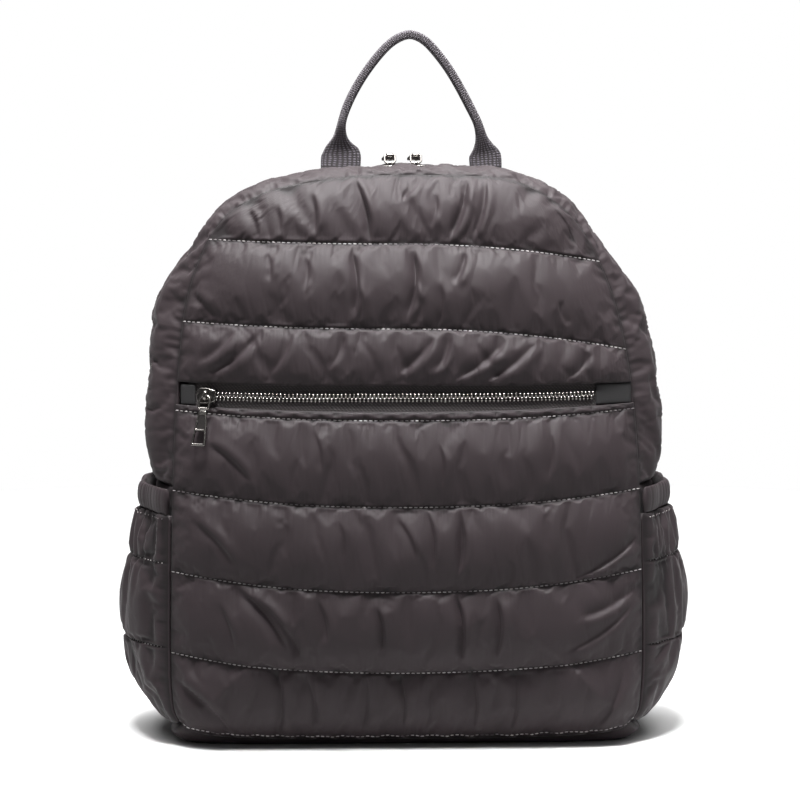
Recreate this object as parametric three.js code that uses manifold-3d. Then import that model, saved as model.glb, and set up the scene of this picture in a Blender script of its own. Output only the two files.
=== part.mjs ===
// A quilted backpack that stands on its base. Millimetres, +Z up, the front faces -Y.
// The origin is the centre of the base's flat underside.
import * as THREE from "three";
import { mergeVertices } from "three/addons/utils/BufferGeometryUtils.js";
import Module from "manifold-3d";

const wasm = await Module();
wasm.setup();
const { lerp, clamp, smoothstep } = THREE.MathUtils;

// Driving dimensions of the bag
const panelWidth = 307;
const panelHeight = 368;
const panelLift = 4.5;
const depthAtBase = 120;
const depthAtTop = 92;
const depthTaperStart = 100;
const seamWall = 2.2;
const seamGap = 0.4;
const edgeRound = 7;
const puffFullness = 0.55;
const edgePuff = 2;

// Front and back panels
const crownDepth = 24;
const crownReach = 105;
const frontPuff = 8;
const backCrown = 5;
const backPuff = 5;

// Strips round the side: front gusset, zip and rear gusset
const topBulge = 2;
const lowSideBulge = 7;
const highSideBulge = 20;
const bulgeChangeLow = 135;
const bulgeChangeHigh = 220;
const shoulderBulge = 4;
const shoulderChangeLow = 275;
const shoulderChangeHigh = 335;
const stripPuff = 6;
const sidePuff = 2.1;
const gussetWall = 2.2;
const zipEndHeight = 171;
const mainZipAt = 0.4;
const mainZipWidth = 15;

// Base
const baseCornerHeight = 15;
const basePad = 5;
const baseBulge = 12.6;

// Side pockets
const pocketBottom = 17;
const pocketTop = 152;
const pocketHollow = 21;
const pocketPad = 4.5;
const pocketWall = 2;
const pocketGathers = 3;
const pocketInset = 0.012;
const gatherDepth = 1.6;
const hemHeight = 17;
const hemThickness = 6;
const hemMouth = 6.5;

// Zip hardware
const tapeThickness = 1.2;
const tapeRecess = 0.6;
const chainWidth = 6;
const chainHeight = 2.4;
const sliderLength = 13;
const sliderWidth = 10;
const sliderWall = 1.4;
const metalGap = 0.3;
const bridgeLength = 7;
const bridgeWidth = 2;
const bridgeWall = 1.2;
const wire = 1.4;
const linkWidth = 8.4;
const linkLength = 10.5;
const pullerLength = 25;
const pullerTopWidth = 4.6;
const pullerWidth = 10;
const pullerThickness = 1.8;
const pullerRim = 1.1;
const barrelWidth = 5.6;
const barrelRadius = 2;
const tapeBow = 0.15;
const pocketPullLean = 13;
const crestLinkLean = 38;
const crestPullerLean = -45;
const crestPullSpacing = 17;
const crestPullShift = -0.003;

// Carry handle
const webbingWidth = 27;
const webbingThickness = 2.2;
const handleHeight = 94;
const handleHalfSpan = 50;
const handleShift = 4;
const foldedThickness = 6;
const foldedWidth = 14;
const handleFootDepth = 0.9;

// Shoulder straps
const strapWidth = 54;
const strapThickness = 11;
const strapTopHeight = 352;
const strapLowHeight = 138;
const strapTopAcross = 44;
const strapLowAcross = 102;
const strapStandOff = 42;
const strapWebbing = 25;
const strapWebbingThickness = 1.6;
const adjusterWidth = 33;
const adjusterBar = 3;
const adjusterSlot = 5.6;
const adjusterThickness = 3.4;
const anchorAcross = 132;
const anchorHeight = 32;
const anchorLean = 0.35;
const tailLength = 40;
const tabClothThickness = 2.4;
const tabWidth = 29;
const tabLength = 34;
const webbingRise = 46;
const webbingLift = 7;

const fabricPaint = new THREE.MeshStandardMaterial({ color: 0x4f4648, roughness: 0.55 });
const webbingPaint = new THREE.MeshStandardMaterial({ color: 0x4c494b, roughness: 0.9 });
const tapePaint = new THREE.MeshStandardMaterial({ color: 0x2b292a, roughness: 0.85 });
const tabPaint = new THREE.MeshStandardMaterial({ color: 0x2a2a2b, roughness: 0.5 });
const metalPaint = new THREE.MeshStandardMaterial({ color: 0x9a9794, roughness: 0.3, metalness: 1 });
const plasticPaint = new THREE.MeshStandardMaterial({ color: 0x232122, roughness: 0.45 });

const backpack = new THREE.Group();

function add(name, geometry, material, parent = backpack) {
  const mesh = new THREE.Mesh(geometry, material);
  mesh.name = name;
  parent.add(mesh);
  return mesh;
}

// Closed surfaces

function closed(points, triangles) {
  const kept = triangles.filter(([a, b, c]) => {
    const [p, q, r] = [points[a], points[b], points[c]];
    return p.distanceTo(q) > 2e-3 && q.distanceTo(r) > 2e-3 && r.distanceTo(p) > 2e-3;
  });
  const volume = kept.reduce(
    (sum, [a, b, c]) => sum + points[a].dot(new THREE.Vector3().crossVectors(points[b], points[c])),
    0,
  );
  const faces = volume < 0 ? kept.map(([a, b, c]) => [a, c, b]) : kept;
  const geometry = new THREE.BufferGeometry().setFromPoints(points);
  geometry.setIndex(faces.flat());
  return mergeVertices(geometry, 1e-3);
}

// A wall between two grids of points of the same size, closed round its rim.
function wall(outer, inner) {
  const rows = outer.length;
  const columns = outer[0].length;
  const points = [...outer.flat(), ...inner.flat()];
  const far = rows * columns;
  const at = (row, column) => row * columns + column;
  const triangles = [];
  const quad = (a, b, c, d) => triangles.push([a, b, c], [a, c, d]);
  for (let row = 0; row < rows - 1; row += 1) {
    for (let column = 0; column < columns - 1; column += 1) {
      const corners = [
        at(row, column),
        at(row, column + 1),
        at(row + 1, column + 1),
        at(row + 1, column),
      ];
      quad(...corners);
      quad(...corners.map((corner) => corner + far).reverse());
    }
  }
  const rim = [];
  for (let column = 0; column < columns - 1; column += 1) rim.push(at(0, column));
  for (let row = 0; row < rows - 1; row += 1) rim.push(at(row, columns - 1));
  for (let column = columns - 1; column > 0; column -= 1) rim.push(at(rows - 1, column));
  for (let row = rows - 1; row > 0; row -= 1) rim.push(at(row, 0));
  rim.forEach((corner, index) => {
    const next = rim[(index + 1) % rim.length];
    quad(next, corner, corner + far, next + far);
  });
  return closed(points, triangles);
}

// A solid skinned over closed sections that all have the same number of points.
function loft(sections, ring = false) {
  const sides = sections[0].length;
  const count = sections.length;
  const points = sections.flat();
  const triangles = [];
  const last = ring ? count : count - 1;
  for (let station = 0; station < last; station += 1) {
    const next = (station + 1) % count;
    for (let side = 0; side < sides; side += 1) {
      const beside = (side + 1) % sides;
      const [a, b] = [station * sides + side, station * sides + beside];
      const [c, d] = [next * sides + beside, next * sides + side];
      triangles.push([a, b, c], [a, c, d]);
    }
  }
  if (!ring) {
    const end = (count - 1) * sides;
    for (let side = 1; side < sides - 1; side += 1) {
      triangles.push([0, side + 1, side], [end, end + side, end + side + 1]);
    }
  }
  return closed(points, triangles);
}

function grid(rows, columns, pointAt) {
  return rows.map((row) => columns.map((column) => pointAt(column, row)));
}

function steps(count, from = 0, to = 1) {
  return Array.from({ length: count + 1 }, (_, index) => lerp(from, to, index / count));
}

// Solids joined and cut
function solid(geometry) {
  const bare = geometry.index ? geometry.clone() : geometry;
  bare.deleteAttribute("normal");
  bare.deleteAttribute("uv");
  const merged = mergeVertices(bare, 1e-3);
  return new wasm.Manifold(
    new wasm.Mesh({
      numProp: 3,
      vertProperties: merged.attributes.position.array,
      triVerts: new Uint32Array(merged.index.array),
    }),
  );
}

function geometryOf(manifold) {
  const mesh = manifold.getMesh();
  const geometry = new THREE.BufferGeometry();
  geometry.setAttribute("position", new THREE.BufferAttribute(mesh.vertProperties, 3));
  geometry.setIndex(new THREE.BufferAttribute(mesh.triVerts, 1));
  return geometry;
}

// The seam outline of the front and back panels, from the middle of the base up the left side,
// over the top and down the right side: shares of half the width and of the height.
const outlineTable = [
  { across: 0, up: 0 },
  { across: -0.5, up: 0.001 },
  { across: -0.86, up: 0.01 },
  { across: -0.97, up: 0.036 },
  { across: -1, up: 0.095 },
  { across: -1, up: 0.27 },
  { across: -0.993, up: 0.45 },
  { across: -0.975, up: 0.62 },
  { across: -0.93, up: 0.785 },
  { across: -0.81, up: 0.905 },
  { across: -0.64, up: 0.96 },
  { across: -0.41, up: 0.987 },
  { across: -0.14, up: 0.999 },
  { across: 0.14, up: 1 },
  { across: 0.41, up: 0.993 },
  { across: 0.6, up: 0.962 },
  { across: 0.755, up: 0.9 },
  { across: 0.88, up: 0.79 },
  { across: 0.95, up: 0.66 },
  { across: 0.985, up: 0.5 },
  { across: 1, up: 0.27 },
  { across: 1, up: 0.095 },
  { across: 0.97, up: 0.036 },
  { across: 0.86, up: 0.01 },
  { across: 0.5, up: 0.001 },
];
const outlineSteps = 400;
const outlineCurve = new THREE.CatmullRomCurve3(
  outlineTable.map(
    ({ across, up }) =>
      new THREE.Vector3((across * panelWidth) / 2, 0, panelLift + up * panelHeight),
  ),
  true,
  "catmullrom",
  0.5,
);
outlineCurve.arcLengthDivisions = 2000;
const outline = outlineCurve.getSpacedPoints(outlineSteps);

function outlineAt(share) {
  const place = (((share % 1) + 1) % 1) * outlineSteps;
  const index = Math.floor(place);
  return outline[index].clone().lerp(outline[index + 1], place - index);
}

function outwardAt(share) {
  const reach = 1 / outlineSteps;
  const along = outlineAt(share + reach).sub(outlineAt(share - reach)).normalize();
  return new THREE.Vector3(-along.z, 0, along.x);
}

const crestShare =
  outline.reduce((best, point, index) => (point.z > outline[best].z ? index : best), 0) /
  outlineSteps;

// The share of the outline at a height on the left (-1) or right (1) side.
function shareAtHeight(side, height) {
  let [low, high] = [side < 0 ? 0 : 1, crestShare];
  for (let turn = 0; turn < 40; turn += 1) {
    const middle = (low + high) / 2;
    if (outlineAt(middle).z < height) low = middle;
    else high = middle;
  }
  return (low + high) / 2;
}

function distanceToOutline(x, z) {
  let least = Infinity;
  for (let index = 0; index < outlineSteps; index += 1) {
    const [a, b] = [outline[index], outline[index + 1]];
    const [dx, dz] = [b.x - a.x, b.z - a.z];
    const along = clamp(((x - a.x) * dx + (z - a.z) * dz) / (dx * dx + dz * dz), 0, 1);
    least = Math.min(least, Math.hypot(x - a.x - along * dx, z - a.z - along * dz));
  }
  return least;
}

const topHeight = panelLift + panelHeight;
const backSeam = depthAtBase / 2;

function frontSeam(height) {
  const narrowing = smoothstep(height, depthTaperStart, topHeight);
  return backSeam - lerp(depthAtBase, depthAtTop, narrowing);
}

function crownShare(distance) {
  return 1 - (1 - Math.min(distance / crownReach, 1)) ** 2;
}

function edgeFade(distance) {
  return 1 - Math.exp(-distance / edgeRound);
}

// A channel of padding between two rows of stitches, over its share from 0 to 1.
function puffShare(share) {
  return Math.sin(Math.PI * clamp(share, 0, 1)) ** puffFullness;
}

// The front surface before its padding puffs out, moved out by lift.
function frontPoint(x, z, lift = 0) {
  const distance = distanceToOutline(x, z);
  const forward = crownDepth * crownShare(distance) + lift * edgeFade(distance);
  return new THREE.Vector3(x, frontSeam(z) - forward, z);
}

function backPoint(x, z, lift = 0) {
  const distance = distanceToOutline(x, z);
  const backward = backCrown * crownShare(distance) + lift * edgeFade(distance);
  return new THREE.Vector3(x, backSeam + backward, z);
}

// Rows of stitches across the front, from the bottom up: heights at the left seam, in the middle
// and at the right seam, as shares of the panel's height.
const stitchRows = {
  low: { left: 0.159, middle: 0.128, right: 0.157 },
  lowMiddle: { left: 0.304, middle: 0.275, right: 0.304 },
  highMiddle: { left: 0.447, middle: 0.424, right: 0.447 },
  topstitch: { left: 0.587, middle: 0.574, right: 0.588 },
  pocketEdge: { left: 0.597, middle: 0.589, right: 0.598 },
  zipTopEdge: { left: 0.637, middle: 0.634, right: 0.634 },
  high: { left: 0.743, middle: 0.733, right: 0.692 },
  top: { left: 0.887, middle: 0.88, right: 0.847 },
};

function rowLine({ left, middle, right }) {
  const [leftShare, rightShare] = [
    shareAtHeight(-1, panelLift + left * panelHeight),
    shareAtHeight(1, panelLift + right * panelHeight),
  ];
  const [start, end] = [outlineAt(leftShare), outlineAt(rightShare)];
  const middleHeight = panelLift + middle * panelHeight;
  const pointAt = (across) => {
    const side = 2 * across - 1;
    const edge = side < 0 ? start.z : end.z;
    return new THREE.Vector3(
      lerp(start.x, end.x, across),
      0,
      lerp(middleHeight, edge, side * side),
    );
  };
  return { leftShare, rightShare, pointAt };
}

// The stretch of the outline between two of its shares, as a row.
function outlineLine(leftShare, rightShare, span = rightShare - leftShare) {
  return { leftShare, rightShare, pointAt: (across) => outlineAt(leftShare + across * span) };
}

// A patch between a lower and an upper row whose ends run along the outline.
function patch(low, high) {
  return (across, up) => {
    const left = outlineAt(lerp(low.leftShare, high.leftShare, up));
    const right = outlineAt(lerp(low.rightShare, high.rightShare, up));
    const [a, b] = [low.pointAt(across), high.pointAt(across)];
    const rows = a.lerp(b, up);
    const ends = left.clone().lerp(right, across);
    const corners = low.pointAt(0).lerp(low.pointAt(1), across);
    corners.lerp(high.pointAt(0).lerp(high.pointAt(1), across), up);
    return rows.add(ends).sub(corners);
  };
}

// Main folds in the front's channels: place across and lean as shares of the channel's width,
// width the same, depth as a share of the padding's puff.
const frontFolds = [
  { channel: "crest", across: 0.36, lean: 0.02, width: 0.025, depth: 0.4 },
  { channel: "crest", across: 0.66, lean: 0.04, width: 0.025, depth: 0.4 },
  { channel: "brow", across: 0.45, lean: 0.02, width: 0.025, depth: 0.35 },
  { channel: "brow", across: 0.62, lean: 0.05, width: 0.025, depth: 0.35 },
  { channel: "belly", across: 0.55, lean: -0.03, width: 0.025, depth: 0.35 },
  { channel: "waist", across: 0.16, lean: -0.12, width: 0.035, depth: 0.5 },
  { channel: "waist", across: 0.37, lean: -0.02, width: 0.025, depth: 0.4 },
  { channel: "waist", across: 0.61, lean: -0.02, width: 0.025, depth: 0.45 },
  { channel: "hem", across: 0.06, lean: -0.1, width: 0.03, depth: 0.5 },
  { channel: "hem", across: 0.62, lean: -0.03, width: 0.025, depth: 0.4 },
];

function foldShare(channel, across, up) {
  return frontFolds
    .filter((fold) => fold.channel === channel)
    .reduce((sum, fold) => {
      const off = across - fold.across - fold.lean * (up - 0.5);
      return sum + fold.depth * Math.exp(-((off / fold.width) ** 2));
    }, 0);
}

const columnsAcross = steps(20);
const rowsInChannel = [0, 0.12, 0.5, 0.88];

// A quilted panel: its channels, from the bottom up, share their rows of stitches.
function quiltedPanel(channels, surface, columns = columnsAcross, rows = rowsInChannel) {
  const outer = [];
  const inner = [];
  channels.forEach(({ name, low, high, puff }, index) => {
    const place = patch(low, high);
    const last = index === channels.length - 1;
    (last ? [...rows, 1] : rows).forEach((up) => {
      const places = columns.map((across) => place(across, up));
      const lifts = columns.map(
        (across) => puff * puffShare(up) * (1 - foldShare(name, across, up)),
      );
      outer.push(places.map(({ x, z }, column) => surface(x, z, lifts[column])));
      inner.push(places.map(({ x, z }) => surface(x, z)));
    });
  });
  const inward = Math.sign(surface(0, topHeight / 2).y) * -seamWall;
  inner.forEach((row) => row.forEach((point) => (point.y += inward)));
  return wall(outer, inner);
}

const lines = Object.fromEntries(
  Object.entries(stitchRows).map(([name, row]) => [name, rowLine(row)]),
);
const lowCorner = 0.03;
const crestCorner = 0.4;
const hemCorner = panelLift + lowCorner * panelHeight;
const bottomLine = outlineLine(
  shareAtHeight(-1, hemCorner),
  shareAtHeight(1, hemCorner),
  shareAtHeight(1, hemCorner) - shareAtHeight(-1, hemCorner) - 1,
);
const crestLeft = lerp(lines.top.leftShare, crestShare, crestCorner);
const crestRight = lerp(lines.top.rightShare, crestShare, crestCorner);
const crestLine = outlineLine(crestLeft, crestRight);

add(
  "front_pocket_panel",
  quiltedPanel(
    [
      { name: "hem", low: bottomLine, high: lines.low, puff: frontPuff },
      { name: "waist", low: lines.low, high: lines.lowMiddle, puff: frontPuff },
      { name: "belly", low: lines.lowMiddle, high: lines.highMiddle, puff: frontPuff },
      { name: "chest", low: lines.highMiddle, high: lines.topstitch, puff: frontPuff },
      { name: "edge", low: lines.topstitch, high: lines.pocketEdge, puff: edgePuff },
    ],
    frontPoint,
  ),
  fabricPaint,
);

add(
  "front_upper_panel",
  quiltedPanel(
    [
      { name: "lip", low: lines.zipTopEdge, high: lines.high, puff: frontPuff },
      { name: "brow", low: lines.high, high: lines.top, puff: frontPuff },
      { name: "crest", low: lines.top, high: crestLine, puff: frontPuff },
    ],
    frontPoint,
  ),
  fabricPaint,
);

// Back panel, quilted in level channels with flat middles.
const backRows = [0.17, 0.33, 0.49, 0.65, 0.8, 0.9];
const backShoulder = 0.2;
const backFlat = backPuff * puffShare(backShoulder);
const backLines = [
  bottomLine,
  ...backRows.map((height) => rowLine({ left: height, middle: height, right: height })),
];
backLines.push(
  outlineLine(
    lerp(backLines.at(-1).leftShare, crestShare, crestCorner),
    lerp(backLines.at(-1).rightShare, crestShare, crestCorner),
  ),
);
add(
  "back_panel",
  quiltedPanel(
    backLines.slice(1).map((high, index) => ({
      name: "back",
      low: backLines[index],
      high,
      puff: backPuff,
    })),
    backPoint,
    steps(10),
    [0, backShoulder, 1 - backShoulder],
  ),
  fabricPaint,
);

// The girth: everything round the side between the two panels. Depth runs from 0 at the front
// seam to 1 at the back seam.

function belly(depth, fullness = 2.6) {
  return 1 - Math.abs(2 * depth - 1) ** fullness;
}

function girthBulge(share) {
  const height = outlineAt(share).z;
  const shoulder = smoothstep(height, shoulderChangeLow, shoulderChangeHigh);
  const side = lerp(
    lowSideBulge,
    lerp(highSideBulge, shoulderBulge, shoulder),
    smoothstep(height, bulgeChangeLow, bulgeChangeHigh),
  );
  return lerp(topBulge, side, Math.abs(outwardAt(share).x));
}

function girthPoint(share, depth, lift = 0) {
  const edge = outlineAt(share);
  const front = frontSeam(edge.z) + seamWall + seamGap;
  const back = backSeam - seamWall - seamGap;
  const point = outwardAt(share).multiplyScalar(girthBulge(share) * belly(depth) + lift);
  point.add(edge);
  point.y = lerp(front, back, depth);
  return point;
}

function girthDepth(share) {
  return backSeam - frontSeam(outlineAt(share).z) - 2 * (seamWall + seamGap);
}

const gapShare = seamGap / outlineCurve.getLength();
const zipLeft = shareAtHeight(-1, zipEndHeight);
const zipRight = shareAtHeight(1, zipEndHeight);
const cornerLeft = shareAtHeight(-1, baseCornerHeight);
const cornerRight = shareAtHeight(1, baseCornerHeight);

// A padded strip along the girth between two depths given for each share of the outline.
function gussetStrip(shares, depths, from, to, puff) {
  const pointAt = (lifted) => (depth, share) => {
    const place = lerp(from(share), to(share), depth);
    return girthPoint(share, place, lifted ? puff * puffShare(depth) : -gussetWall);
  };
  return wall(grid(shares, depths, pointAt(true)), grid(shares, depths, pointAt(false)));
}

const zipHalf = (share) => mainZipWidth / 2 / girthDepth(share);
const zipFront = (share) => mainZipAt - zipHalf(share);
const zipBack = (share) => mainZipAt + zipHalf(share);
const topShares = steps(30, zipLeft + gapShare, zipRight - gapShare);
const stripDepths = [0, 0.14, 0.5, 0.86, 1];

add(
  "front_gusset",
  gussetStrip(topShares, stripDepths, () => 0, zipFront, stripPuff),
  fabricPaint,
);
add(
  "rear_gusset",
  gussetStrip(topShares, stripDepths, zipBack, () => 1, stripPuff),
  fabricPaint,
);

// Main zip: a tape between the gussets, with the closed chain on it.
function ribbonOnGirth(shares, halfWidth, low, high) {
  return loft(
    shares.map((share) => {
      const half = halfWidth / girthDepth(share);
      return [
        girthPoint(share, mainZipAt - half, low),
        girthPoint(share, mainZipAt + half, low),
        girthPoint(share, mainZipAt + half, high),
        girthPoint(share, mainZipAt - half, high),
      ];
    }),
  );
}

const tapeTop = -tapeRecess;
const zipShares = steps(30, zipLeft + gapShare, zipRight - gapShare);
const tapeHalf = mainZipWidth / 2 - seamGap;
add(
  "main_zip_tape",
  ribbonOnGirth(zipShares, tapeHalf, tapeTop - tapeThickness, tapeTop),
  tapePaint,
);
const chainBase = tapeTop + metalGap;
add(
  "main_zip_chain",
  ribbonOnGirth(
    steps(30, zipLeft + 8 * gapShare, zipRight - 8 * gapShare),
    chainWidth / 2,
    chainBase,
    chainBase + chainHeight,
  ),
  metalPaint,
);

// Side panels, from the base corners up to the ends of the main zip.
function sidePanel(from, to) {
  const shares = steps(8, from, to);
  return gussetStrip(shares, [0, 0.08, 0.3, 0.5, 0.7, 0.92, 1], () => 0, () => 1, sidePuff);
}
add("side_panel_left", sidePanel(cornerLeft + gapShare, zipLeft - gapShare), fabricPaint);
add("side_panel_right", sidePanel(cornerRight - gapShare, zipRight + gapShare), fabricPaint);

function sideLift(share, depth) {
  return sidePuff * puffShare(depth) + girthBulge(share) * belly(depth);
}

// Base panel, flat underneath: it bulges down from the seams only as far as the floor.
function basePoint(share, depth, lift = 0) {
  const edge = outlineAt(share);
  const outward = outwardAt(share);
  const front = frontSeam(edge.z) + seamWall + seamGap;
  const back = backSeam - seamWall - seamGap;
  const toFloor = edge.z / Math.abs(outward.z);
  const bulge = Math.min(toFloor, baseBulge * belly(depth, 8));
  return new THREE.Vector3(
    edge.x + outward.x * (bulge + lift),
    lerp(front, back, depth),
    Math.max(edge.z + outward.z * (bulge + lift), 0),
  );
}
const baseSpan = cornerRight - cornerLeft - 1;
const baseShares = steps(16, cornerLeft - gapShare, cornerLeft + gapShare + baseSpan);
const baseDepths = [0, 0.04, 0.12, 0.5, 0.88, 0.96, 1];
add(
  "base_panel",
  wall(
    grid(baseShares, baseDepths, (depth, share) => basePoint(share, depth)),
    grid(baseShares, baseDepths, (depth, share) => {
      const pad = gussetWall + basePad * belly(depth, 6);
      return basePoint(share, depth).add(outwardAt(share).multiplyScalar(-pad));
    }),
  ),
  fabricPaint,
);

// Side pockets: how far the pocket stands off the side panel over its height, in shares of the
// pocket's hollow. The rows of stitches are at 0.36 and 0.77 of its height.
const pocketProfile = [
  { up: 0, off: 0 },
  { up: 0.1, off: 0.5 },
  { up: 0.24, off: 0.86 },
  { up: 0.36, off: 0.98 },
  { up: 0.5, off: 1 },
  { up: 0.66, off: 0.96 },
  { up: 0.77, off: 0.86 },
  { up: 0.88, off: 0.68 },
  { up: 1, off: 0.52 },
];
const pocketStitches = [0, 0.36, 0.77, 1];

function pocketStandOff(up) {
  const above = pocketProfile.findIndex((row) => row.up >= up);
  if (above < 1) return pocketProfile[0].off;
  const [low, high] = [pocketProfile[above - 1], pocketProfile[above]];
  return lerp(low.off, high.off, (up - low.up) / (high.up - low.up));
}

function pocketPuff(up) {
  const above = pocketStitches.findIndex((row) => row >= up);
  if (above < 1) return 0;
  const [low, high] = [pocketStitches[above - 1], pocketStitches[above]];
  return puffShare((up - low) / (high - low));
}

function gather(depth) {
  return gatherDepth * belly(depth, 6) * Math.cos(2 * Math.PI * pocketGathers * depth);
}

const pocketDepths = steps(14, pocketInset, 1 - pocketInset);
const pocketRows = [0, 0.1, 0.24, 0.36, 0.43, 0.58, 0.71, 0.77, 0.85, 1];

function sidePocket(side) {
  const shareAt = (up) => shareAtHeight(side, lerp(pocketBottom, pocketTop, up));
  const innerLift = (share, depth, up) =>
    sideLift(share, depth) -
    girthBulge(share) * belly(depth) +
    seamGap +
    pocketHollow * pocketStandOff(up) * belly(depth, 2.2);
  const padding = (depth, up) =>
    pocketWall + pocketPad * pocketPuff(up) * belly(depth, 4) + gather(depth) * smoothstep(up, 0.7, 1);
  const outer = grid(pocketRows, pocketDepths, (depth, up) => {
    const share = shareAt(up);
    return girthPoint(share, depth, innerLift(share, depth, up) + padding(depth, up) + 0.4);
  });
  const inner = grid(pocketRows, pocketDepths, (depth, up) => {
    const share = shareAt(up);
    return girthPoint(share, depth, innerLift(share, depth, up));
  });
  return wall(outer, inner);
}

// The elastic hem that gathers each pocket's mouth: a flat tube that runs from seam to seam.
function pocketHem(side) {
  const sectionSides = 8;
  return loft(
    steps(16, pocketInset, 1 - pocketInset).map((depth) => {
      const middle = pocketTop + seamGap + hemHeight / 2;
      const share = shareAtHeight(side, middle);
      const taper = lerp(0.55, 1, belly(depth, 4));
      const thickness = (hemThickness * taper + gather(depth)) / 2;
      const clear =
        sidePuff * puffShare(depth) + seamGap + hemMouth * belly(depth, 2.2) + thickness;
      return steps(sectionSides - 1, 0, 1 - 1 / sectionSides).map((turn) => {
        const angle = 2 * Math.PI * turn;
        const height = middle + (Math.sin(angle) * hemHeight) / 2;
        const at = girthPoint(share, depth, clear + Math.cos(angle) * thickness);
        return at.add(new THREE.Vector3(0, 0, height - outlineAt(share).z));
      });
    }),
  );
}

[
  ["left", -1],
  ["right", 1],
].forEach(([name, side]) => {
  add(`side_pocket_${name}`, sidePocket(side), fabricPaint);
  add(`pocket_hem_${name}`, pocketHem(side), fabricPaint);
});

// Pocket zip: it lies behind the gap between the two front panels.
const zipHeight = panelLift + 0.613 * panelHeight;
const zipReach = 0.395 * panelWidth;
const tapeReach = panelWidth / 2 - 11;
const tabReach = panelWidth / 2 - 6.5;
const tapeHidden = 5;
const pocketTapeTop = -seamWall - metalGap;

function ribbonOnFront(places, lowHeight, highHeight, back, front) {
  return loft(
    places.map((x) => [
      frontPoint(x, lowHeight).add(new THREE.Vector3(0, -back, 0)),
      frontPoint(x, highHeight).add(new THREE.Vector3(0, -back, 0)),
      frontPoint(x, highHeight).add(new THREE.Vector3(0, -front, 0)),
      frontPoint(x, lowHeight).add(new THREE.Vector3(0, -front, 0)),
    ]),
  );
}

const openingLow = panelLift + stitchRows.pocketEdge.middle * panelHeight;
const openingHigh = panelLift + stitchRows.zipTopEdge.middle * panelHeight;
add(
  "pocket_zip_tape",
  ribbonOnFront(
    steps(26, -tapeReach, tapeReach),
    openingLow - tapeHidden,
    openingHigh + tapeHidden,
    pocketTapeTop - tapeThickness,
    pocketTapeTop,
  ),
  tapePaint,
);
const pocketChainBase = pocketTapeTop + metalGap;
add(
  "pocket_zip_chain",
  ribbonOnFront(
    steps(26, -zipReach - 4, zipReach),
    zipHeight - chainWidth / 2,
    zipHeight + chainWidth / 2,
    pocketChainBase,
    pocketChainBase + chainHeight,
  ),
  metalPaint,
);
const tabThickness = 1.5;
const tabMargin = 4;
[
  ["left", -tabReach, -zipReach - sliderLength - 3],
  ["right", zipReach + 1.5, tabReach],
].forEach(([name, from, to]) =>
  add(
    `pocket_zip_tab_${name}`,
    ribbonOnFront(
      steps(3, from, to),
      openingLow + tabMargin,
      openingHigh - 1,
      pocketChainBase,
      pocketChainBase + tabThickness,
    ),
    tabPaint,
  ),
);

// A zip slider, its link and its puller in their own frame: x along the zip, y towards the
// puller's hanging end, z out from the tape, and the origin on the tape.
const slotTop = metalGap + chainHeight + metalGap;
const sliderTop = slotTop + sliderWall;
const pullAxis = sliderTop + 0.4 + wire / 2;

function sliderSolid() {
  const slot = chainWidth / 2 + 2 * metalGap;
  const half = sliderWidth / 2;
  const section = new THREE.Shape([
    new THREE.Vector2(-half, metalGap),
    new THREE.Vector2(-slot, metalGap),
    new THREE.Vector2(-slot, slotTop),
    new THREE.Vector2(slot, slotTop),
    new THREE.Vector2(slot, metalGap),
    new THREE.Vector2(half, metalGap),
    new THREE.Vector2(half, sliderTop - 0.8),
    new THREE.Vector2(half - 1.2, sliderTop),
    new THREE.Vector2(-half + 1.2, sliderTop),
    new THREE.Vector2(-half, sliderTop - 0.8),
  ]);
  const body = new THREE.ExtrudeGeometry(section, { depth: sliderLength, bevelEnabled: false });
  body.translate(0, 0, -sliderLength / 2);
  body.rotateY(Math.PI / 2);
  body.rotateX(Math.PI / 2);
  const crown = pullAxis + wire / 2 + metalGap;
  const foot = sliderTop - 0.4;
  const arch = new THREE.Shape([
    new THREE.Vector2(-bridgeLength / 2, foot),
    new THREE.Vector2(bridgeLength / 2, foot),
    new THREE.Vector2(bridgeLength / 2, crown),
    new THREE.Vector2(0.25 * bridgeLength, crown + bridgeWall),
    new THREE.Vector2(-0.25 * bridgeLength, crown + bridgeWall),
    new THREE.Vector2(-bridgeLength / 2, crown),
  ]);
  const inner = bridgeLength / 2 - bridgeWall;
  arch.holes.push(
    new THREE.Path([
      new THREE.Vector2(-inner, sliderTop),
      new THREE.Vector2(inner, sliderTop),
      new THREE.Vector2(inner, crown - 0.3),
      new THREE.Vector2(0.2 * bridgeLength, crown),
      new THREE.Vector2(-0.2 * bridgeLength, crown),
      new THREE.Vector2(-inner, crown - 0.3),
    ]),
  );
  const bridge = new THREE.ExtrudeGeometry(arch, { depth: bridgeWidth, bevelEnabled: false });
  bridge.translate(0, 0, -bridgeWidth / 2);
  bridge.rotateX(Math.PI / 2);
  bridge.rotateZ(Math.PI / 2);
  return geometryOf(solid(body).add(solid(bridge)));
}

// A wire link whose round top passes under the bridge, with a straight lower bar.
const linkBarAt = linkLength - wire;

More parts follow.
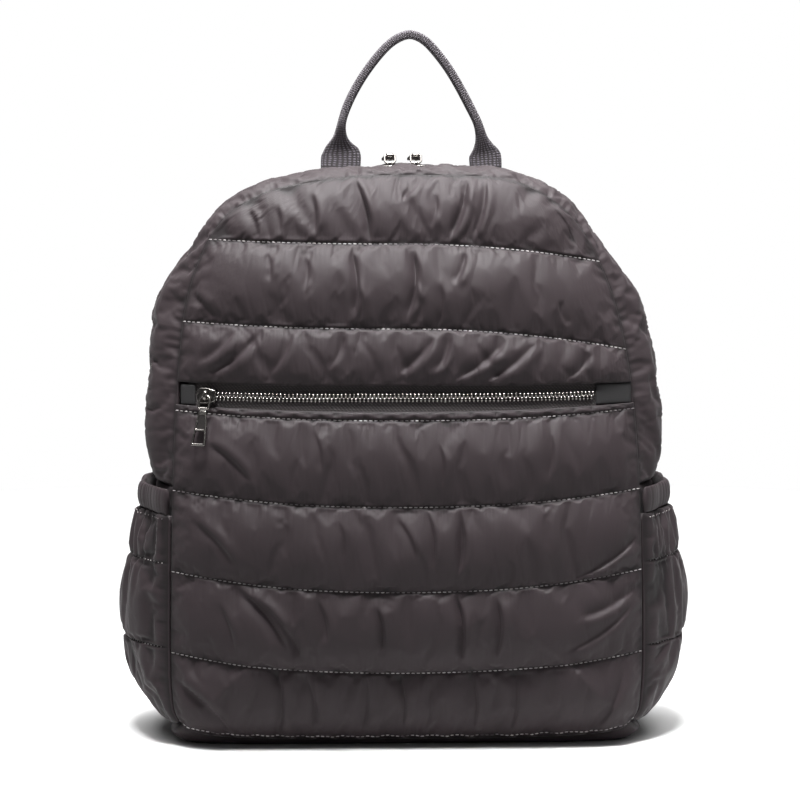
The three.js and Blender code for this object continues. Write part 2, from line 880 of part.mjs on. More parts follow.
function linkSolid() {
  const radius = (linkWidth - wire) / 2;
  const path = steps(8, 0, Math.PI).map(
    (angle) => new THREE.Vector2(-radius * Math.cos(angle), radius - radius * Math.sin(angle)),
  );
  path.push(new THREE.Vector2(radius, linkBarAt - 1.2));
  path.push(new THREE.Vector2(radius - 0.8, linkBarAt));
  path.push(new THREE.Vector2(-radius + 0.8, linkBarAt));
  path.push(new THREE.Vector2(-radius, linkBarAt - 1.2));
  return loft(
    path.map((at, index) => {
      const along = path[(index + 1) % path.length].clone().sub(path.at(index - 1)).normalize();
      return steps(5, 0, 5 / 6).map((turn) => {
        const angle = 2 * Math.PI * turn;
        const side = (Math.cos(angle) * wire) / 2;
        const out = (Math.sin(angle) * wire) / 2;
        return new THREE.Vector3(at.x - along.y * side, at.y + along.x * side, out);
      });
    }),
    true,
  );
}

// The puller: a barrel round the link's bar and a tapered frame with a window in its lower half.
// Its origin is the bar's axis.
function pullerSolid() {
  const bore = wire / 2 + metalGap;
  const ring = new THREE.Shape().absarc(0, 0, barrelRadius, 0, 2 * Math.PI);
  ring.holes.push(new THREE.Path().absarc(0, 0, bore, 0, 2 * Math.PI));
  const barrel = new THREE.ExtrudeGeometry(ring, {
    depth: barrelWidth,
    bevelEnabled: false,
    curveSegments: 5,
  });
  barrel.translate(0, 0, -barrelWidth / 2);
  barrel.rotateY(Math.PI / 2);
  const start = bore + 0.3;
  const half = pullerWidth / 2;
  const top = pullerTopWidth / 2;
  const waist = lerp(top, half, 0.45);
  const waistAt = lerp(start, pullerLength, 0.3);
  const frame = new THREE.Shape([
    new THREE.Vector2(-top, start),
    new THREE.Vector2(top, start),
    new THREE.Vector2(waist, waistAt),
    new THREE.Vector2(half, pullerLength),
    new THREE.Vector2(-half, pullerLength),
    new THREE.Vector2(-waist, waistAt),
  ]);
  const crossbar = lerp(start, pullerLength, 0.56);
  const windowTop = lerp(waist, half, 0.37) - pullerRim;
  const windowFoot = half - pullerRim;
  frame.holes.push(
    new THREE.Path([
      new THREE.Vector2(-windowTop, crossbar),
      new THREE.Vector2(windowTop, crossbar),
      new THREE.Vector2(windowFoot, pullerLength - 1.4 * pullerRim),
      new THREE.Vector2(-windowFoot, pullerLength - 1.4 * pullerRim),
    ]),
  );
  const plate = new THREE.ExtrudeGeometry(frame, { depth: pullerThickness, bevelEnabled: false });
  plate.translate(0, 0, -pullerThickness / 2);
  return geometryOf(solid(barrel).add(solid(plate)));
}

const sliderShape = sliderSolid();
const linkShape = linkSolid();
const pullerShape = pullerSolid();

// A slider with its link and puller; the angles lean them out from the tape, in degrees.
function zipPull(names, frame, linkLean, pullerLean) {
  const link = frame.clone();
  link.multiply(new THREE.Matrix4().makeTranslation(0, 0, pullAxis));
  link.multiply(new THREE.Matrix4().makeRotationX(THREE.MathUtils.degToRad(linkLean)));
  const puller = link.clone();
  puller.multiply(new THREE.Matrix4().makeTranslation(0, linkBarAt, 0));
  puller.multiply(new THREE.Matrix4().makeRotationX(THREE.MathUtils.degToRad(pullerLean)));
  add(names.slider, sliderShape.clone().applyMatrix4(frame), metalPaint);
  add(names.link, linkShape.clone().applyMatrix4(link), metalPaint);
  add(names.puller, pullerShape.clone().applyMatrix4(puller), metalPaint);
}

function frameAt(origin, along, out) {
  const down = new THREE.Vector3().crossVectors(out, along);
  return new THREE.Matrix4().makeBasis(along, down, out).setPosition(origin);
}

// The front zip's slider is at its left end. Its pull hangs down and leans on the padding.
const pullAt = -zipReach - sliderLength / 2 - 1;
const beside = [-6, 6].map((off) => frontPoint(pullAt + off, zipHeight));
const above = [-6, 6].map((off) => frontPoint(pullAt, zipHeight + off));
const pullAlong = beside[0].clone().sub(beside[1]).normalize();
const pullOut = above[0].clone().sub(above[1]).cross(pullAlong).negate().normalize();
const tapeFront = frontPoint(pullAt, zipHeight);
tapeFront.y -= pocketTapeTop + tapeBow;
zipPull(
  { slider: "pocket_zip_slider", link: "pocket_zip_link", puller: "pocket_zip_puller" },
  frameAt(tapeFront, pullAlong, pullOut),
  pocketPullLean,
  0,
);

// The main zip's two sliders meet at the crest. Their links stand up behind the front gusset and
// their pullers lie back on the rear one.
[
  ["left", -1],
  ["right", 1],
].forEach(([name, side]) => {
  const share = crestShare + (side * crestPullSpacing) / 2 / outlineCurve.getLength() + crestPullShift;
  const out = outwardAt(share);
  const along = new THREE.Vector3(out.z, 0, -out.x);
  zipPull(
    {
      slider: `main_zip_slider_${name}`,
      link: `main_zip_link_${name}`,
      puller: `main_zip_puller_${name}`,
    },
    frameAt(girthPoint(share, mainZipAt, tapeTop), along, out),
    crestLinkLean,
    crestPullerLean,
  );
});

// Sections of bands and straps: eight points round a centre, wide along u and thick along v.
function bandSection(centre, u, v, halfWidth, halfThickness, round = 0.75) {
  return [
    [1, round],
    [round, 1],
    [-round, 1],
    [-1, round],
    [-1, -round],
    [-round, -1],
    [round, -1],
    [1, -round],
  ].map(([across, out]) =>
    centre
      .clone()
      .addScaledVector(u, across * halfWidth)
      .addScaledVector(v, out * halfThickness),
  );
}

// Carry handle: one webbing, flat at its feet and folded in half lengthways where it is held.
// Places from the left foot to the right: shares of half the span and of the height above the
// panels, and how far the fold is open.
const handleRoute = [
  { across: -0.91, up: 0.13, open: 1 },
  { across: -0.92, up: 0.19, open: 0.72 },
  { across: -0.92, up: 0.26, open: 0.2 },
  { across: -0.9, up: 0.36, open: 0 },
  { across: -0.83, up: 0.48, open: 0 },
  { across: -0.7, up: 0.62, open: 0 },
  { across: -0.53, up: 0.76, open: 0 },
  { across: -0.33, up: 0.89, open: 0 },
  { across: -0.16, up: 0.965, open: 0 },
  { across: 0.03, up: 1, open: 0 },
  { across: 0.21, up: 0.965, open: 0 },
  { across: 0.36, up: 0.89, open: 0 },
  { across: 0.55, up: 0.76, open: 0 },
  { across: 0.71, up: 0.62, open: 0 },
  { across: 0.85, up: 0.48, open: 0 },
  { across: 0.96, up: 0.36, open: 0 },
  { across: 1.01, up: 0.26, open: 0.1 },
  { across: 1.04, up: 0.19, open: 0.4 },
  { across: 1.06, up: 0.13, open: 0.75 },
];

function crestShareAt(x) {
  let [low, high] = [crestLeft, crestRight];
  for (let turn = 0; turn < 40; turn += 1) {
    const middle = (low + high) / 2;
    if (outlineAt(middle).x < x) low = middle;
    else high = middle;
  }
  return (low + high) / 2;
}

function handleFootAt({ across, open }) {
  const share = crestShareAt(across * handleHalfSpan + handleShift);
  const lift = stripPuff * puffShare(handleFootDepth - 0.03) + 2 * seamGap;
  const at = girthPoint(share, lerp(zipBack(share), 1, handleFootDepth), lift);
  return { at, open, along: outwardAt(share) };
}

const footLeft = handleFootAt(handleRoute[0]);
const footRight = handleFootAt(handleRoute.at(-1));
const handleStops = [
  footLeft,
  ...handleRoute.map(({ across, up, open }, index) => ({
    at: new THREE.Vector3(
      across * handleHalfSpan + handleShift,
      lerp(footLeft.at.y, footRight.at.y, index / handleRoute.length),
      topHeight + up * handleHeight,
    ),
    open,
  })),
  { ...footRight, along: footRight.along.clone().negate() },
];
const depthAxis = new THREE.Vector3(0, 1, 0);
add(
  "carry_handle",
  loft(
    handleStops.map(({ at, open, along }, index) => {
      const before = handleStops[Math.max(index - 1, 0)].at;
      const after = handleStops[Math.min(index + 1, handleStops.length - 1)].at;
      const ahead = along ?? after.clone().sub(before).setY(0).normalize();
      const across = new THREE.Vector3(ahead.z, 0, -ahead.x);
      return bandSection(
        at,
        across,
        depthAxis,
        lerp(foldedThickness, webbingWidth, open) / 2,
        lerp(foldedWidth, webbingThickness, Math.sqrt(open)) / 2,
      );
    }),
  ),
  webbingPaint,
);

// Shoulder straps: the padded strap's middle line from the top of the back panel down. Down and
// across run from the upper to the lower end, off is a share of the greatest stand-off.
const strapRoute = [
  { down: 0, across: 0, off: 0 },
  { down: 0, across: 0, off: 0.12 },
  { down: -0.015, across: 0, off: 0.35 },
  { down: 0.015, across: 0.01, off: 0.72 },
  { down: 0.12, across: 0.04, off: 0.95 },
  { down: 0.27, across: 0.11, off: 1 },
  { down: 0.44, across: 0.25, off: 0.96 },
  { down: 0.6, across: 0.43, off: 0.86 },
  { down: 0.76, across: 0.64, off: 0.7 },
  { down: 0.9, across: 0.85, off: 0.58 },
  { down: 1, across: 1, off: 0.49 },
];

// The lower end of the padded strap narrows to a webbing loop round the adjuster's top bar.
// Along and out are millimetres in the adjuster's own frame.
const barHalf = adjusterThickness / 2;
const layer = barHalf + metalGap + strapWebbingThickness / 2;
const turnAt = metalGap + strapWebbingThickness / 2;
const strapLoop = [
  { along: 0, out: layer },
  { along: adjusterBar, out: layer },
  { along: adjusterBar + 0.75 * turnAt, out: 0.9 * layer },
  { along: adjusterBar + turnAt, out: barHalf },
  { along: adjusterBar + turnAt, out: -barHalf },
  { along: adjusterBar + 0.75 * turnAt, out: -0.9 * layer },
  { along: adjusterBar, out: -layer },
  { along: 0, out: -layer },
];

// The lower webbing's way through the adjuster, from the tail's end to below the last bar.
const middleBar = adjusterBar + adjusterSlot;
const lowBar = middleBar + adjusterBar + adjusterSlot;
const slotMiddle = lowBar - adjusterSlot / 2;
const loadedLayer = layer + strapWebbingThickness + 1.4 * metalGap;
const webbingWay = [
  { along: lowBar + adjusterBar + tailLength, out: 4 * layer },
  { along: lowBar + adjusterBar + 0.6 * tailLength, out: 2 * layer },
  { along: lowBar + adjusterBar + 0.2 * tailLength, out: -0.4 * layer },
  { along: lowBar + adjusterBar, out: -layer },
  { along: lowBar + 0.3, out: -layer },
  { along: slotMiddle + 1.2, out: -0.83 * layer },
  { along: slotMiddle, out: 0 },
  { along: slotMiddle - 1.2, out: 0.83 * layer },
  { along: middleBar + adjusterBar - 0.3, out: layer },
  { along: middleBar, out: layer },
  { along: middleBar - 0.75 * turnAt, out: 0.9 * layer },
  { along: middleBar - turnAt, out: barHalf },
  { along: middleBar - turnAt, out: -barHalf },
  { along: middleBar - turnAt, out: -0.75 * loadedLayer },
  { along: middleBar - 0.7 * turnAt, out: -0.95 * loadedLayer },
  { along: middleBar + 0.2, out: -loadedLayer },
  { along: lowBar + adjusterBar, out: -loadedLayer },
  { along: lowBar + 2 * adjusterBar, out: -1.05 * loadedLayer },
];

function adjusterSolid() {
  const half = adjusterWidth / 2;
  const length = lowBar + adjusterBar;
  const plate = new THREE.Shape([
    new THREE.Vector2(-half, 1.5),
    new THREE.Vector2(-half + 1.5, 0),
    new THREE.Vector2(half - 1.5, 0),
    new THREE.Vector2(half, 1.5),
    new THREE.Vector2(half, length - 1.5),
    new THREE.Vector2(half - 1.5, length),
    new THREE.Vector2(-half + 1.5, length),
    new THREE.Vector2(-half, length - 1.5),
  ]);
  const open = strapWebbing / 2 + 1;
  [adjusterBar, middleBar + adjusterBar].forEach((start) => {
    const end = start + adjusterSlot;
    plate.holes.push(
      new THREE.Path([
        new THREE.Vector2(-open, start),
        new THREE.Vector2(open, start),
        new THREE.Vector2(open, end),
        new THREE.Vector2(-open, end),
      ]),
    );
  });
  const slab = new THREE.ExtrudeGeometry(plate, {
    depth: adjusterThickness,
    bevelEnabled: false,
  });
  slab.translate(0, 0, -barHalf);
  return slab;
}

// Sections of a band along stops that give a place, the band's lateral direction, its width and
// its thickness.
function bandAlong(stops, round) {
  return stops.map(({ at, lateral, width, thickness }, index) => {
    const before = stops[Math.max(index - 1, 0)].at;
    const after = stops[Math.min(index + 1, stops.length - 1)].at;
    const along = after.clone().sub(before).normalize();
    const across = lateral.clone().addScaledVector(along, -along.dot(lateral)).normalize();
    const out = new THREE.Vector3().crossVectors(across, along);
    return bandSection(at, across, out, width / 2, thickness / 2, round);
  });
}

[
  ["left", -1],
  ["right", 1],
].forEach(([name, side]) => {
  const start = backPoint(side * strapTopAcross, strapTopHeight, backFlat);
  const innerEdge = side * (strapTopAcross - strapWidth / 2);
  start.y = backPoint(innerEdge, strapTopHeight - strapThickness / 2, backFlat).y + seamGap;
  const route = new THREE.CatmullRomCurve3(
    strapRoute.map(
      ({ down, across, off }) =>
        new THREE.Vector3(
          side * lerp(strapTopAcross, strapLowAcross, across),
          start.y + off * strapStandOff,
          lerp(strapTopHeight, strapLowHeight, down),
        ),
    ),
  );
  const lateral = new THREE.Vector3(1, 0, 0);
  const places = steps(16).map((share) => route.getPoint(share));
  const end = places.at(-1);
  const along = route.getTangent(1);
  const across = lateral.clone().addScaledVector(along, -along.dot(lateral)).normalize();
  const out = new THREE.Vector3().crossVectors(across, along);
  const local = (place) => end.clone().addScaledVector(along, place.along).addScaledVector(out, place.out);
  const narrowing = [1, 1, 0.98, 0.9, 0.66];
  const padded = places.map((at, index) => {
    const fromEnd = places.length - 1 - index;
    const share = narrowing[Math.max(4 - fromEnd, 0)];
    return {
      at,
      lateral,
      width: lerp(strapWebbing, strapWidth, share),
      thickness: lerp(strapWebbingThickness, strapThickness, share),
    };
  });
  const loopStart = strapWidth / 4;
  const loop = strapLoop.map((place) => ({
    at: local({ along: place.along + loopStart, out: place.out }),
    lateral: across,
    width: strapWebbing,
    thickness: strapWebbingThickness,
  }));
  const neck = {
    at: local({ along: 0.55 * loopStart, out: 0.6 * layer }),
    lateral: across,
    width: lerp(strapWebbing, strapWidth, 0.2),
    thickness: lerp(strapWebbingThickness, strapThickness, 0.3),
  };
  add(`shoulder_strap_${name}`, loft(bandAlong([...padded, neck, ...loop], 0.6)), fabricPaint);
  const frame = new THREE.Matrix4().makeBasis(across, along, out);
  frame.setPosition(local({ along: loopStart, out: 0 }));
  add(`strap_adjuster_${name}`, adjusterSolid().applyMatrix4(frame), plasticPaint);

  const inward = new THREE.Vector3(-side * anchorLean, 0, 1).normalize();
  const onBack = (distance, off) => {
    const x = side * anchorAcross + distance * inward.x;
    const z = anchorHeight + distance * inward.z;
    const channelTop = panelLift + backRows[0] * panelHeight;
    const share = Math.min((z - panelLift) / (channelTop - panelLift) / backShoulder, 1);
    const highest = backPoint(x - (side * tabWidth) / 2, z, backFlat * Math.max(share, 0)).y;
    return new THREE.Vector3(x, highest + off, z);
  };
  const onTab = 2 * seamGap + tabClothThickness + strapWebbingThickness / 2;
  const rise = [
    { distance: webbingRise, off: webbingLift },
    { distance: 0.65 * webbingRise, off: 0.36 * webbingLift },
    { distance: 0.33 * webbingRise, off: 0.06 * webbingLift },
    { distance: 0, off: 0 },
  ];
  const webbing = [
    ...webbingWay.map((place) => ({
      at: local({ along: place.along + loopStart, out: place.out }),
      lateral: across,
    })),
    ...rise.map(({ distance, off }) => ({ at: onBack(distance, onTab + off), lateral })),
  ].map((stop) => ({ ...stop, width: strapWebbing, thickness: strapWebbingThickness }));
  add(`strap_webbing_${name}`, loft(bandAlong(webbing, 0.8)), webbingPaint);

  const tab = steps(2, -tabLength / 2, tabLength / 2).map((distance) => ({
    at: onBack(distance, seamGap + tabClothThickness / 2),
    lateral,
    width: tabWidth,
    thickness: tabClothThickness,
  }));
  add(`strap_tab_${name}`, loft(bandAlong(tab, 0.8)), fabricPaint);
});

export default backpack;
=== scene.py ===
import math

import bmesh
import bpy
import numpy as np
from mathutils import Matrix, Vector


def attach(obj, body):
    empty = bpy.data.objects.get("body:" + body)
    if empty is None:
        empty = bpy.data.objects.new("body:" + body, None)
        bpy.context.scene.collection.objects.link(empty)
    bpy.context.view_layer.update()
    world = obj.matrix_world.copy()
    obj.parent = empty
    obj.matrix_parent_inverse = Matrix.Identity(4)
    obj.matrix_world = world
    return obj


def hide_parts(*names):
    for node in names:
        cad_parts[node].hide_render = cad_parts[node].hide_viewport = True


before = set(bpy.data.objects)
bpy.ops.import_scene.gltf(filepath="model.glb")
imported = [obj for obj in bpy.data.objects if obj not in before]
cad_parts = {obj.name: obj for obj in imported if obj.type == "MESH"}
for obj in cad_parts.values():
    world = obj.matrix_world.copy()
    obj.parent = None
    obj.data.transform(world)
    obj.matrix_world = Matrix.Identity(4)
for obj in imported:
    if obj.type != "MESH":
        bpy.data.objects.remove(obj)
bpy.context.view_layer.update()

# Camera and studio. A long lens a little above the bag and a little to its left, as the bag was
# photographed, over a white table that runs out of sight, under one wide softbox.


def aim(thing, place, target):
    bpy.context.scene.collection.objects.link(thing)
    thing.location = place
    thing.rotation_mode = "QUATERNION"
    thing.rotation_quaternion = (Vector(target) - Vector(place)).to_track_quat("-Z", "Y")


view_distance = 1.7
view_width = 0.5135
view_turn = math.radians(-1.8)
view_rise = math.radians(5.8)
view_middle = Vector((-0.0052, -0.075, 0.2294))
view_back = Vector((
    math.sin(view_turn) * math.cos(view_rise),
    -math.cos(view_turn) * math.cos(view_rise),
    math.sin(view_rise),
))
camera = bpy.data.objects.new("camera", bpy.data.cameras.new("camera"))
camera.data.sensor_width = 36
camera.data.lens = 36 * view_distance / view_width
aim(camera, view_middle + view_back * view_distance, view_middle)
bpy.context.scene.camera = camera


def softbox(name, place, target, width, height, watts, spread=180):
    light = bpy.data.lights.new(name, "AREA")
    light.shape = "RECTANGLE"
    light.size, light.size_y = width, height
    light.energy = watts
    light.spread = math.radians(spread)
    aim(bpy.data.objects.new(name, light), place, target)


softbox("softbox_overhead", (0.0, 0.15, 2.0), (0, 0, 0.2), 2.6, 2.2, 100)
softbox("softbox_front", (-0.7, -2.6, 1.9), (0, 0, 0.2), 1.6, 1.2, 1.5)
softbox("softbox_left", (-2.2, -0.6, 1.3), (0, 0, 0.2), 1.0, 1.4, 1.2)
softbox("softbox_right", (2.2, -0.6, 1.3), (0, 0, 0.2), 1.0, 1.4, 5)
softbox("softbox_back", (0.4, 2.6, 1.5), (0, 0, 0.2), 1.6, 1.2, 7)
softbox("softbox_top", (-0.05, -0.3, 1.35), (0, -0.03, 0.42), 0.6, 0.3, 2.3, spread=26)


def linear(colour):
    """An sRGB hex colour as linear red, green, blue and alpha."""
    parts = [int(colour[at:at + 2], 16) / 255 for at in (1, 3, 5)]
    return [p / 12.92 if p <= 0.04045 else ((p + 0.055) / 1.055) ** 2.4 for p in parts] + [1.0]


def node(tree, kind, settings=None, **inputs):
    """Adds a node. An input, named or numbered as in _0, is a value or another node's output."""
    made = tree.nodes.new(kind)
    for name, value in (settings or {}).items():
        setattr(made, name, value)
    for name, value in inputs.items():
        socket = made.inputs[int(name[1:]) if name[1:].isdigit() else name.replace("_", " ")]
        if isinstance(value, bpy.types.NodeSocket):
            tree.links.new(value, socket)
        else:
            socket.default_value = value
    return made


world = bpy.data.worlds.new("white studio")
bpy.context.scene.world = world
world.use_nodes = True
world.node_tree.nodes.clear()
seen = node(world.node_tree, "ShaderNodeLightPath")
strength = node(
    world.node_tree, "ShaderNodeMapRange", Value=seen.outputs["Is Camera Ray"], To_Min=0.04
)
sky = node(
    world.node_tree, "ShaderNodeBackground", Color=(1, 1, 1, 1), Strength=strength.outputs[0]
)
node(world.node_tree, "ShaderNodeOutputWorld", Surface=sky.outputs[0])
bpy.context.scene.view_settings.view_transform = "Standard"


def material(name, **sockets):
    """A new material, its shader's sockets set to values; returns it, its tree and its shader."""
    made = bpy.data.materials.new(name)
    made.use_nodes = True
    made.node_tree.nodes.clear()
    shader = node(made.node_tree, "ShaderNodeBsdfPrincipled", **sockets)
    node(made.node_tree, "ShaderNodeOutputMaterial", Surface=shader.outputs[0])
    return made, made.node_tree, shader


# Round table top of matt white laminate, lost in the white behind it. Its colour is painted light:
# grey near the bag and paler towards the rim, to make up for the softbox's light falling off.
laminate, tree, shader = material("matt white laminate", Roughness=0.7)
place = node(tree, "ShaderNodeTexCoord").outputs["Object"]
far = node(tree, "ShaderNodeVectorMath", {"operation": "LENGTH"}, _0=place)
# Painted light: paler farther from the middle, where the softbox's light falls off.
paler = node(tree, "ShaderNodeMapRange", Value=far.outputs["Value"], From_Min=0.4, From_Max=1.2)
shades = {"_6": linear("#cecece"), "_7": linear("#f6f6f6")}
tone = node(tree, "ShaderNodeMix", {"data_type": "RGBA"}, Factor=paler.outputs[0], **shades)
tree.links.new(tone.outputs[2], shader.inputs["Base Color"])
table = bpy.data.meshes.new("table")
table_radius, table_sides, table_drop = 1.25, 96, 0.0002
rim = [2 * math.pi * turn / table_sides for turn in range(table_sides)]
table.from_pydata(
    [(table_radius * math.cos(a), table_radius * math.sin(a), -table_drop) for a in rim],
    [],
    [range(table_sides)],
)
table.materials.append(laminate)
table = bpy.data.objects.new("table", table)
bpy.context.scene.collection.objects.link(table)

# Front panels. Two padded panels of satin nylon over wadding, sewn to the gusset round the same
# outline and quilted in rows: the upper one overhangs the zip, the lower one is the pocket.
# Each is one sheet of cloth pinned along its stitches and blown up from behind, then folded.

panel_width, panel_height, panel_lift = 307, 368, 4.5
panel_top = panel_lift + panel_height
back_plane, depth_low, depth_high, narrows_from = 60, 120, 92, 100
front_crown, crown_reach, edge_reach = 24, 105, 7
seam_wall, seam_gap = 2.2, 0.4
outline_table = np.array([
    (0, 0), (-0.5, 0.001), (-0.86, 0.01), (-0.97, 0.036), (-1, 0.095), (-1, 0.27),
    (-0.993, 0.45), (-0.975, 0.62), (-0.93, 0.785), (-0.81, 0.905), (-0.64, 0.96),
    (-0.41, 0.987), (-0.14, 0.999), (0.14, 1), (0.41, 0.993), (0.6, 0.962), (0.755, 0.9),
    (0.88, 0.79), (0.95, 0.66), (0.985, 0.5), (1, 0.27), (1, 0.095), (0.97, 0.036),
    (0.86, 0.01), (0.5, 0.001),
])


def lerp(a, b, share):
    return a + (b - a) * share


def smooth(value, low, high):
    share = np.clip((value - low) / (high - low), 0, 1)
    return share * share * (3 - 2 * share)


def unit(vectors):
    return vectors / np.linalg.norm(vectors, axis=-1, keepdims=True)


def lengths_along(points):
    """How far each point of a line lies along it."""
    return np.concatenate([[0], np.cumsum(np.linalg.norm(np.diff(points, axis=0), axis=1))])


def outline_points(steps=400):
    """The seam's outline in equal steps, as x and z in millimetres, and its length."""
    knots = outline_table * (panel_width / 2, panel_height) + (0, panel_lift)

    def at(turns):
        index = np.floor(turns).astype(int)
        w = (turns - index)[:, None]
        p0, p1, p2, p3 = (knots[(index + off) % len(knots)] for off in (-1, 0, 1, 2))
        t0, t1 = (p2 - p0) / 2, (p3 - p1) / 2
        cubic = 2 * (p1 - p2) + t0 + t1
        return p1 + t0 * w + (3 * (p2 - p1) - 2 * t0 - t1) * w**2 + cubic * w**3

    turns = np.linspace(0, len(knots), 2001)
    lengths = lengths_along(at(turns))
    even = np.linspace(0, lengths[-1], steps + 1)
    return at(np.interp(even, lengths, turns)), lengths[-1]


outline, outline_length = outline_points()
outline_shares = np.linspace(0, 1, len(outline))
crest = int(np.argmax(outline[:, 1]))
crest_share = outline_shares[crest]


def outline_at(share):
    turn = np.asarray(share, float) % 1
    return np.stack([np.interp(turn, outline_shares, outline[:, k]) for k in (0, 1)], -1)


def outward_at(share):
    reach = outline_shares[1]
    along = unit(outline_at(np.asarray(share) + reach) - outline_at(np.asarray(share) - reach))
    return np.stack([-along[..., 1], along[..., 0]], -1)


def share_at(side, height):
    """The outline's share at a height on the left (-1) or right (1) side."""
    part = slice(0, crest + 1) if side < 0 else slice(len(outline), crest - 1, -1)
    return np.interp(height, outline[part, 1], outline_shares[part])


def nearest_outline(x, z):
    """The distance to the outline, and how far along it the nearest point lies."""
    least, where = np.full(x.shape, np.inf), np.zeros(x.shape)
    step = outline_length / (len(outline) - 1)
    for index, ((ax, az), (dx, dz)) in enumerate(zip(outline[:-1], np.diff(outline, axis=0))):
        along = np.clip(((x - ax) * dx + (z - az) * dz) / (dx * dx + dz * dz), 0, 1)
        distance = np.hypot(x - ax - along * dx, z - az - along * dz)
        where = np.where(distance < least, (index + along) * step, where)
        least = np.minimum(least, distance)
    return least, where


def front_seam(height):
    return back_plane - lerp(depth_low, depth_high, smooth(height, narrows_from, panel_top))


def crown_share(distance):
    return 1 - (1 - np.minimum(distance / crown_reach, 1)) ** 2


def front_y(z, distance):
    return front_seam(z) - front_crown * crown_share(distance)


def edge_fade(distance):
    return 1 - np.exp(-distance / edge_reach)


def puff_share(share):
    return np.sin(np.pi * np.clip(share, 0, 1)) ** 0.55


def row_line(left, middle, right):
    """A row of stitches: its shares of the outline at both ends, and its points across."""
    start = share_at(-1, panel_lift + left * panel_height)
    end = share_at(1, panel_lift + right * panel_height)
    (x0, z0), (x1, z1) = outline_at(start), outline_at(end)
    centre = panel_lift + middle * panel_height

    def points(across):
        side = 2 * np.asarray(across) - 1
        height = lerp(centre, np.where(side < 0, z0, z1), side**2)
        return np.stack([lerp(x0, x1, across), height], -1)

    return start, end, points


def outline_line(start, end, span=None):
    span = end - start if span is None else span
    return start, end, lambda across: outline_at(start + np.asarray(across) * span)


def patch(low, high, across, up):
    """Points between a lower and an upper row whose ends run along the outline."""
    up = up[:, None, None]
    wide = across[None, :, None]
    rows = lerp(low[2](across)[None], high[2](across)[None], up)
    left = outline_at(lerp(low[0], high[0], up[:, 0, 0]))[:, None]
    right = outline_at(lerp(low[1], high[1], up[:, 0, 0]))[:, None]
    corners = [line[2](np.array([0.0, 1.0])) for line in (low, high)]
    lower, upper = (lerp(pair[0], pair[1], wide) for pair in corners)
    return rows + lerp(left, right, wide) - lerp(lower, upper, up)


def waves(u, v, seed, shortest, longest, count=24, lean=0.35):
    """Smooth seeded noise of about -1 to 1, mostly across u, from waves of given lengths in mm."""
    rng = np.random.default_rng(seed)
    total = np.zeros(np.broadcast(u, v).shape)
    for _ in range(count):
        length = np.exp(rng.uniform(np.log(shortest), np.log(longest)))
        turn = rng.normal(0, lean)
        phase = (u * np.cos(turn) + v * np.sin(turn)) * 2 * np.pi / length
        total += np.sin(phase + rng.uniform(0, 2 * np.pi))
    return total / np.sqrt(count)


def denser(points):
    """Twice as many points along the first axis, the new ones on smooth curves through the old."""
    before, after = 2 * points[:1] - points[1:2], 2 * points[-1:] - points[-2:-1]
    long = np.concatenate([before, points, after])
    both = np.empty((2 * len(points) - 1,) + points.shape[1:])
    both[::2] = points
    both[1::2] = (9 * (long[1:-2] + long[2:-1]) - long[:-3] - long[3:]) / 16
    return both


def finer(grid):
    """Twice as many rows and columns of a grid of points."""
    return np.moveaxis(denser(np.moveaxis(denser(grid), 1, 0)), 0, 1)


def quads(rows, columns):
    at = np.arange(rows * columns).reshape(rows, columns)
    return np.stack([at[:-1, :-1], at[:-1, 1:], at[1:, 1:], at[1:, :-1]], -1).reshape(-1, 4)


def as_mesh(thing):
    """A plain mesh of an object as its modifiers leave it."""
    seen_now = thing.evaluated_get(bpy.context.evaluated_depsgraph_get())
    return bpy.data.meshes.new_from_object(seen_now)


def blown_up(start, sewn, away, slack=0.018, pressure=4.0, cap=6.0):
    """A sheet of cloth pinned where it is sewn, cut longer by slack and pressed outwards."""
    rows, columns = sewn.shape
    faces = quads(rows, columns)
    a, b, d = (start.reshape(-1, 3)[faces[:, k]] for k in (0, 1, 3))
    outward = np.cross(b - a, d - a)
    if (outward * away.reshape(-1, 3)[faces[:, 0]]).sum() < 0:
        faces = faces[:, ::-1]
    mesh = bpy.data.meshes.new("sheet")
    mesh.from_pydata((start.reshape(-1, 3) / 1000).tolist(), [], faces.tolist())
    sheet = bpy.data.objects.new("sheet", mesh)
    bpy.context.scene.collection.objects.link(sheet)
    held = sheet.vertex_groups.new(name="sewn")
    held.add(np.flatnonzero(sewn).tolist(), 1.0, "REPLACE")
    cloth = sheet.modifiers.new("cloth", "CLOTH")
    cloth.settings.vertex_group_mass = "sewn"
    cloth.settings.shrink_min = -slack
    cloth.settings.bending_stiffness = 0.5
    cloth.settings.use_pressure = True
    cloth.settings.uniform_pressure_force = pressure
    cloth.settings.effector_weights.gravity = 0
    cloth.collision_settings.use_collision = False
    for moment in range(1, 21):
        bpy.context.scene.frame_set(moment)
    settled = as_mesh(sheet)
    points = np.empty(rows * columns * 3, np.float32)
    settled.vertices.foreach_get("co", points)
    moved = points.reshape(start.shape) * 1000.0 - start
    length = np.maximum(np.linalg.norm(moved, axis=-1, keepdims=True), 1e-6)
    bpy.data.objects.remove(sheet)
    bpy.data.meshes.remove(mesh)
    bpy.data.meshes.remove(settled)
    bpy.context.scene.frame_set(1)
    return start + moved * cap * np.tanh(length / cap) / length


# A rise high enough that the nylon paints no seam shade on linings and other pieces.
clear_of_painted_shade = 9.0


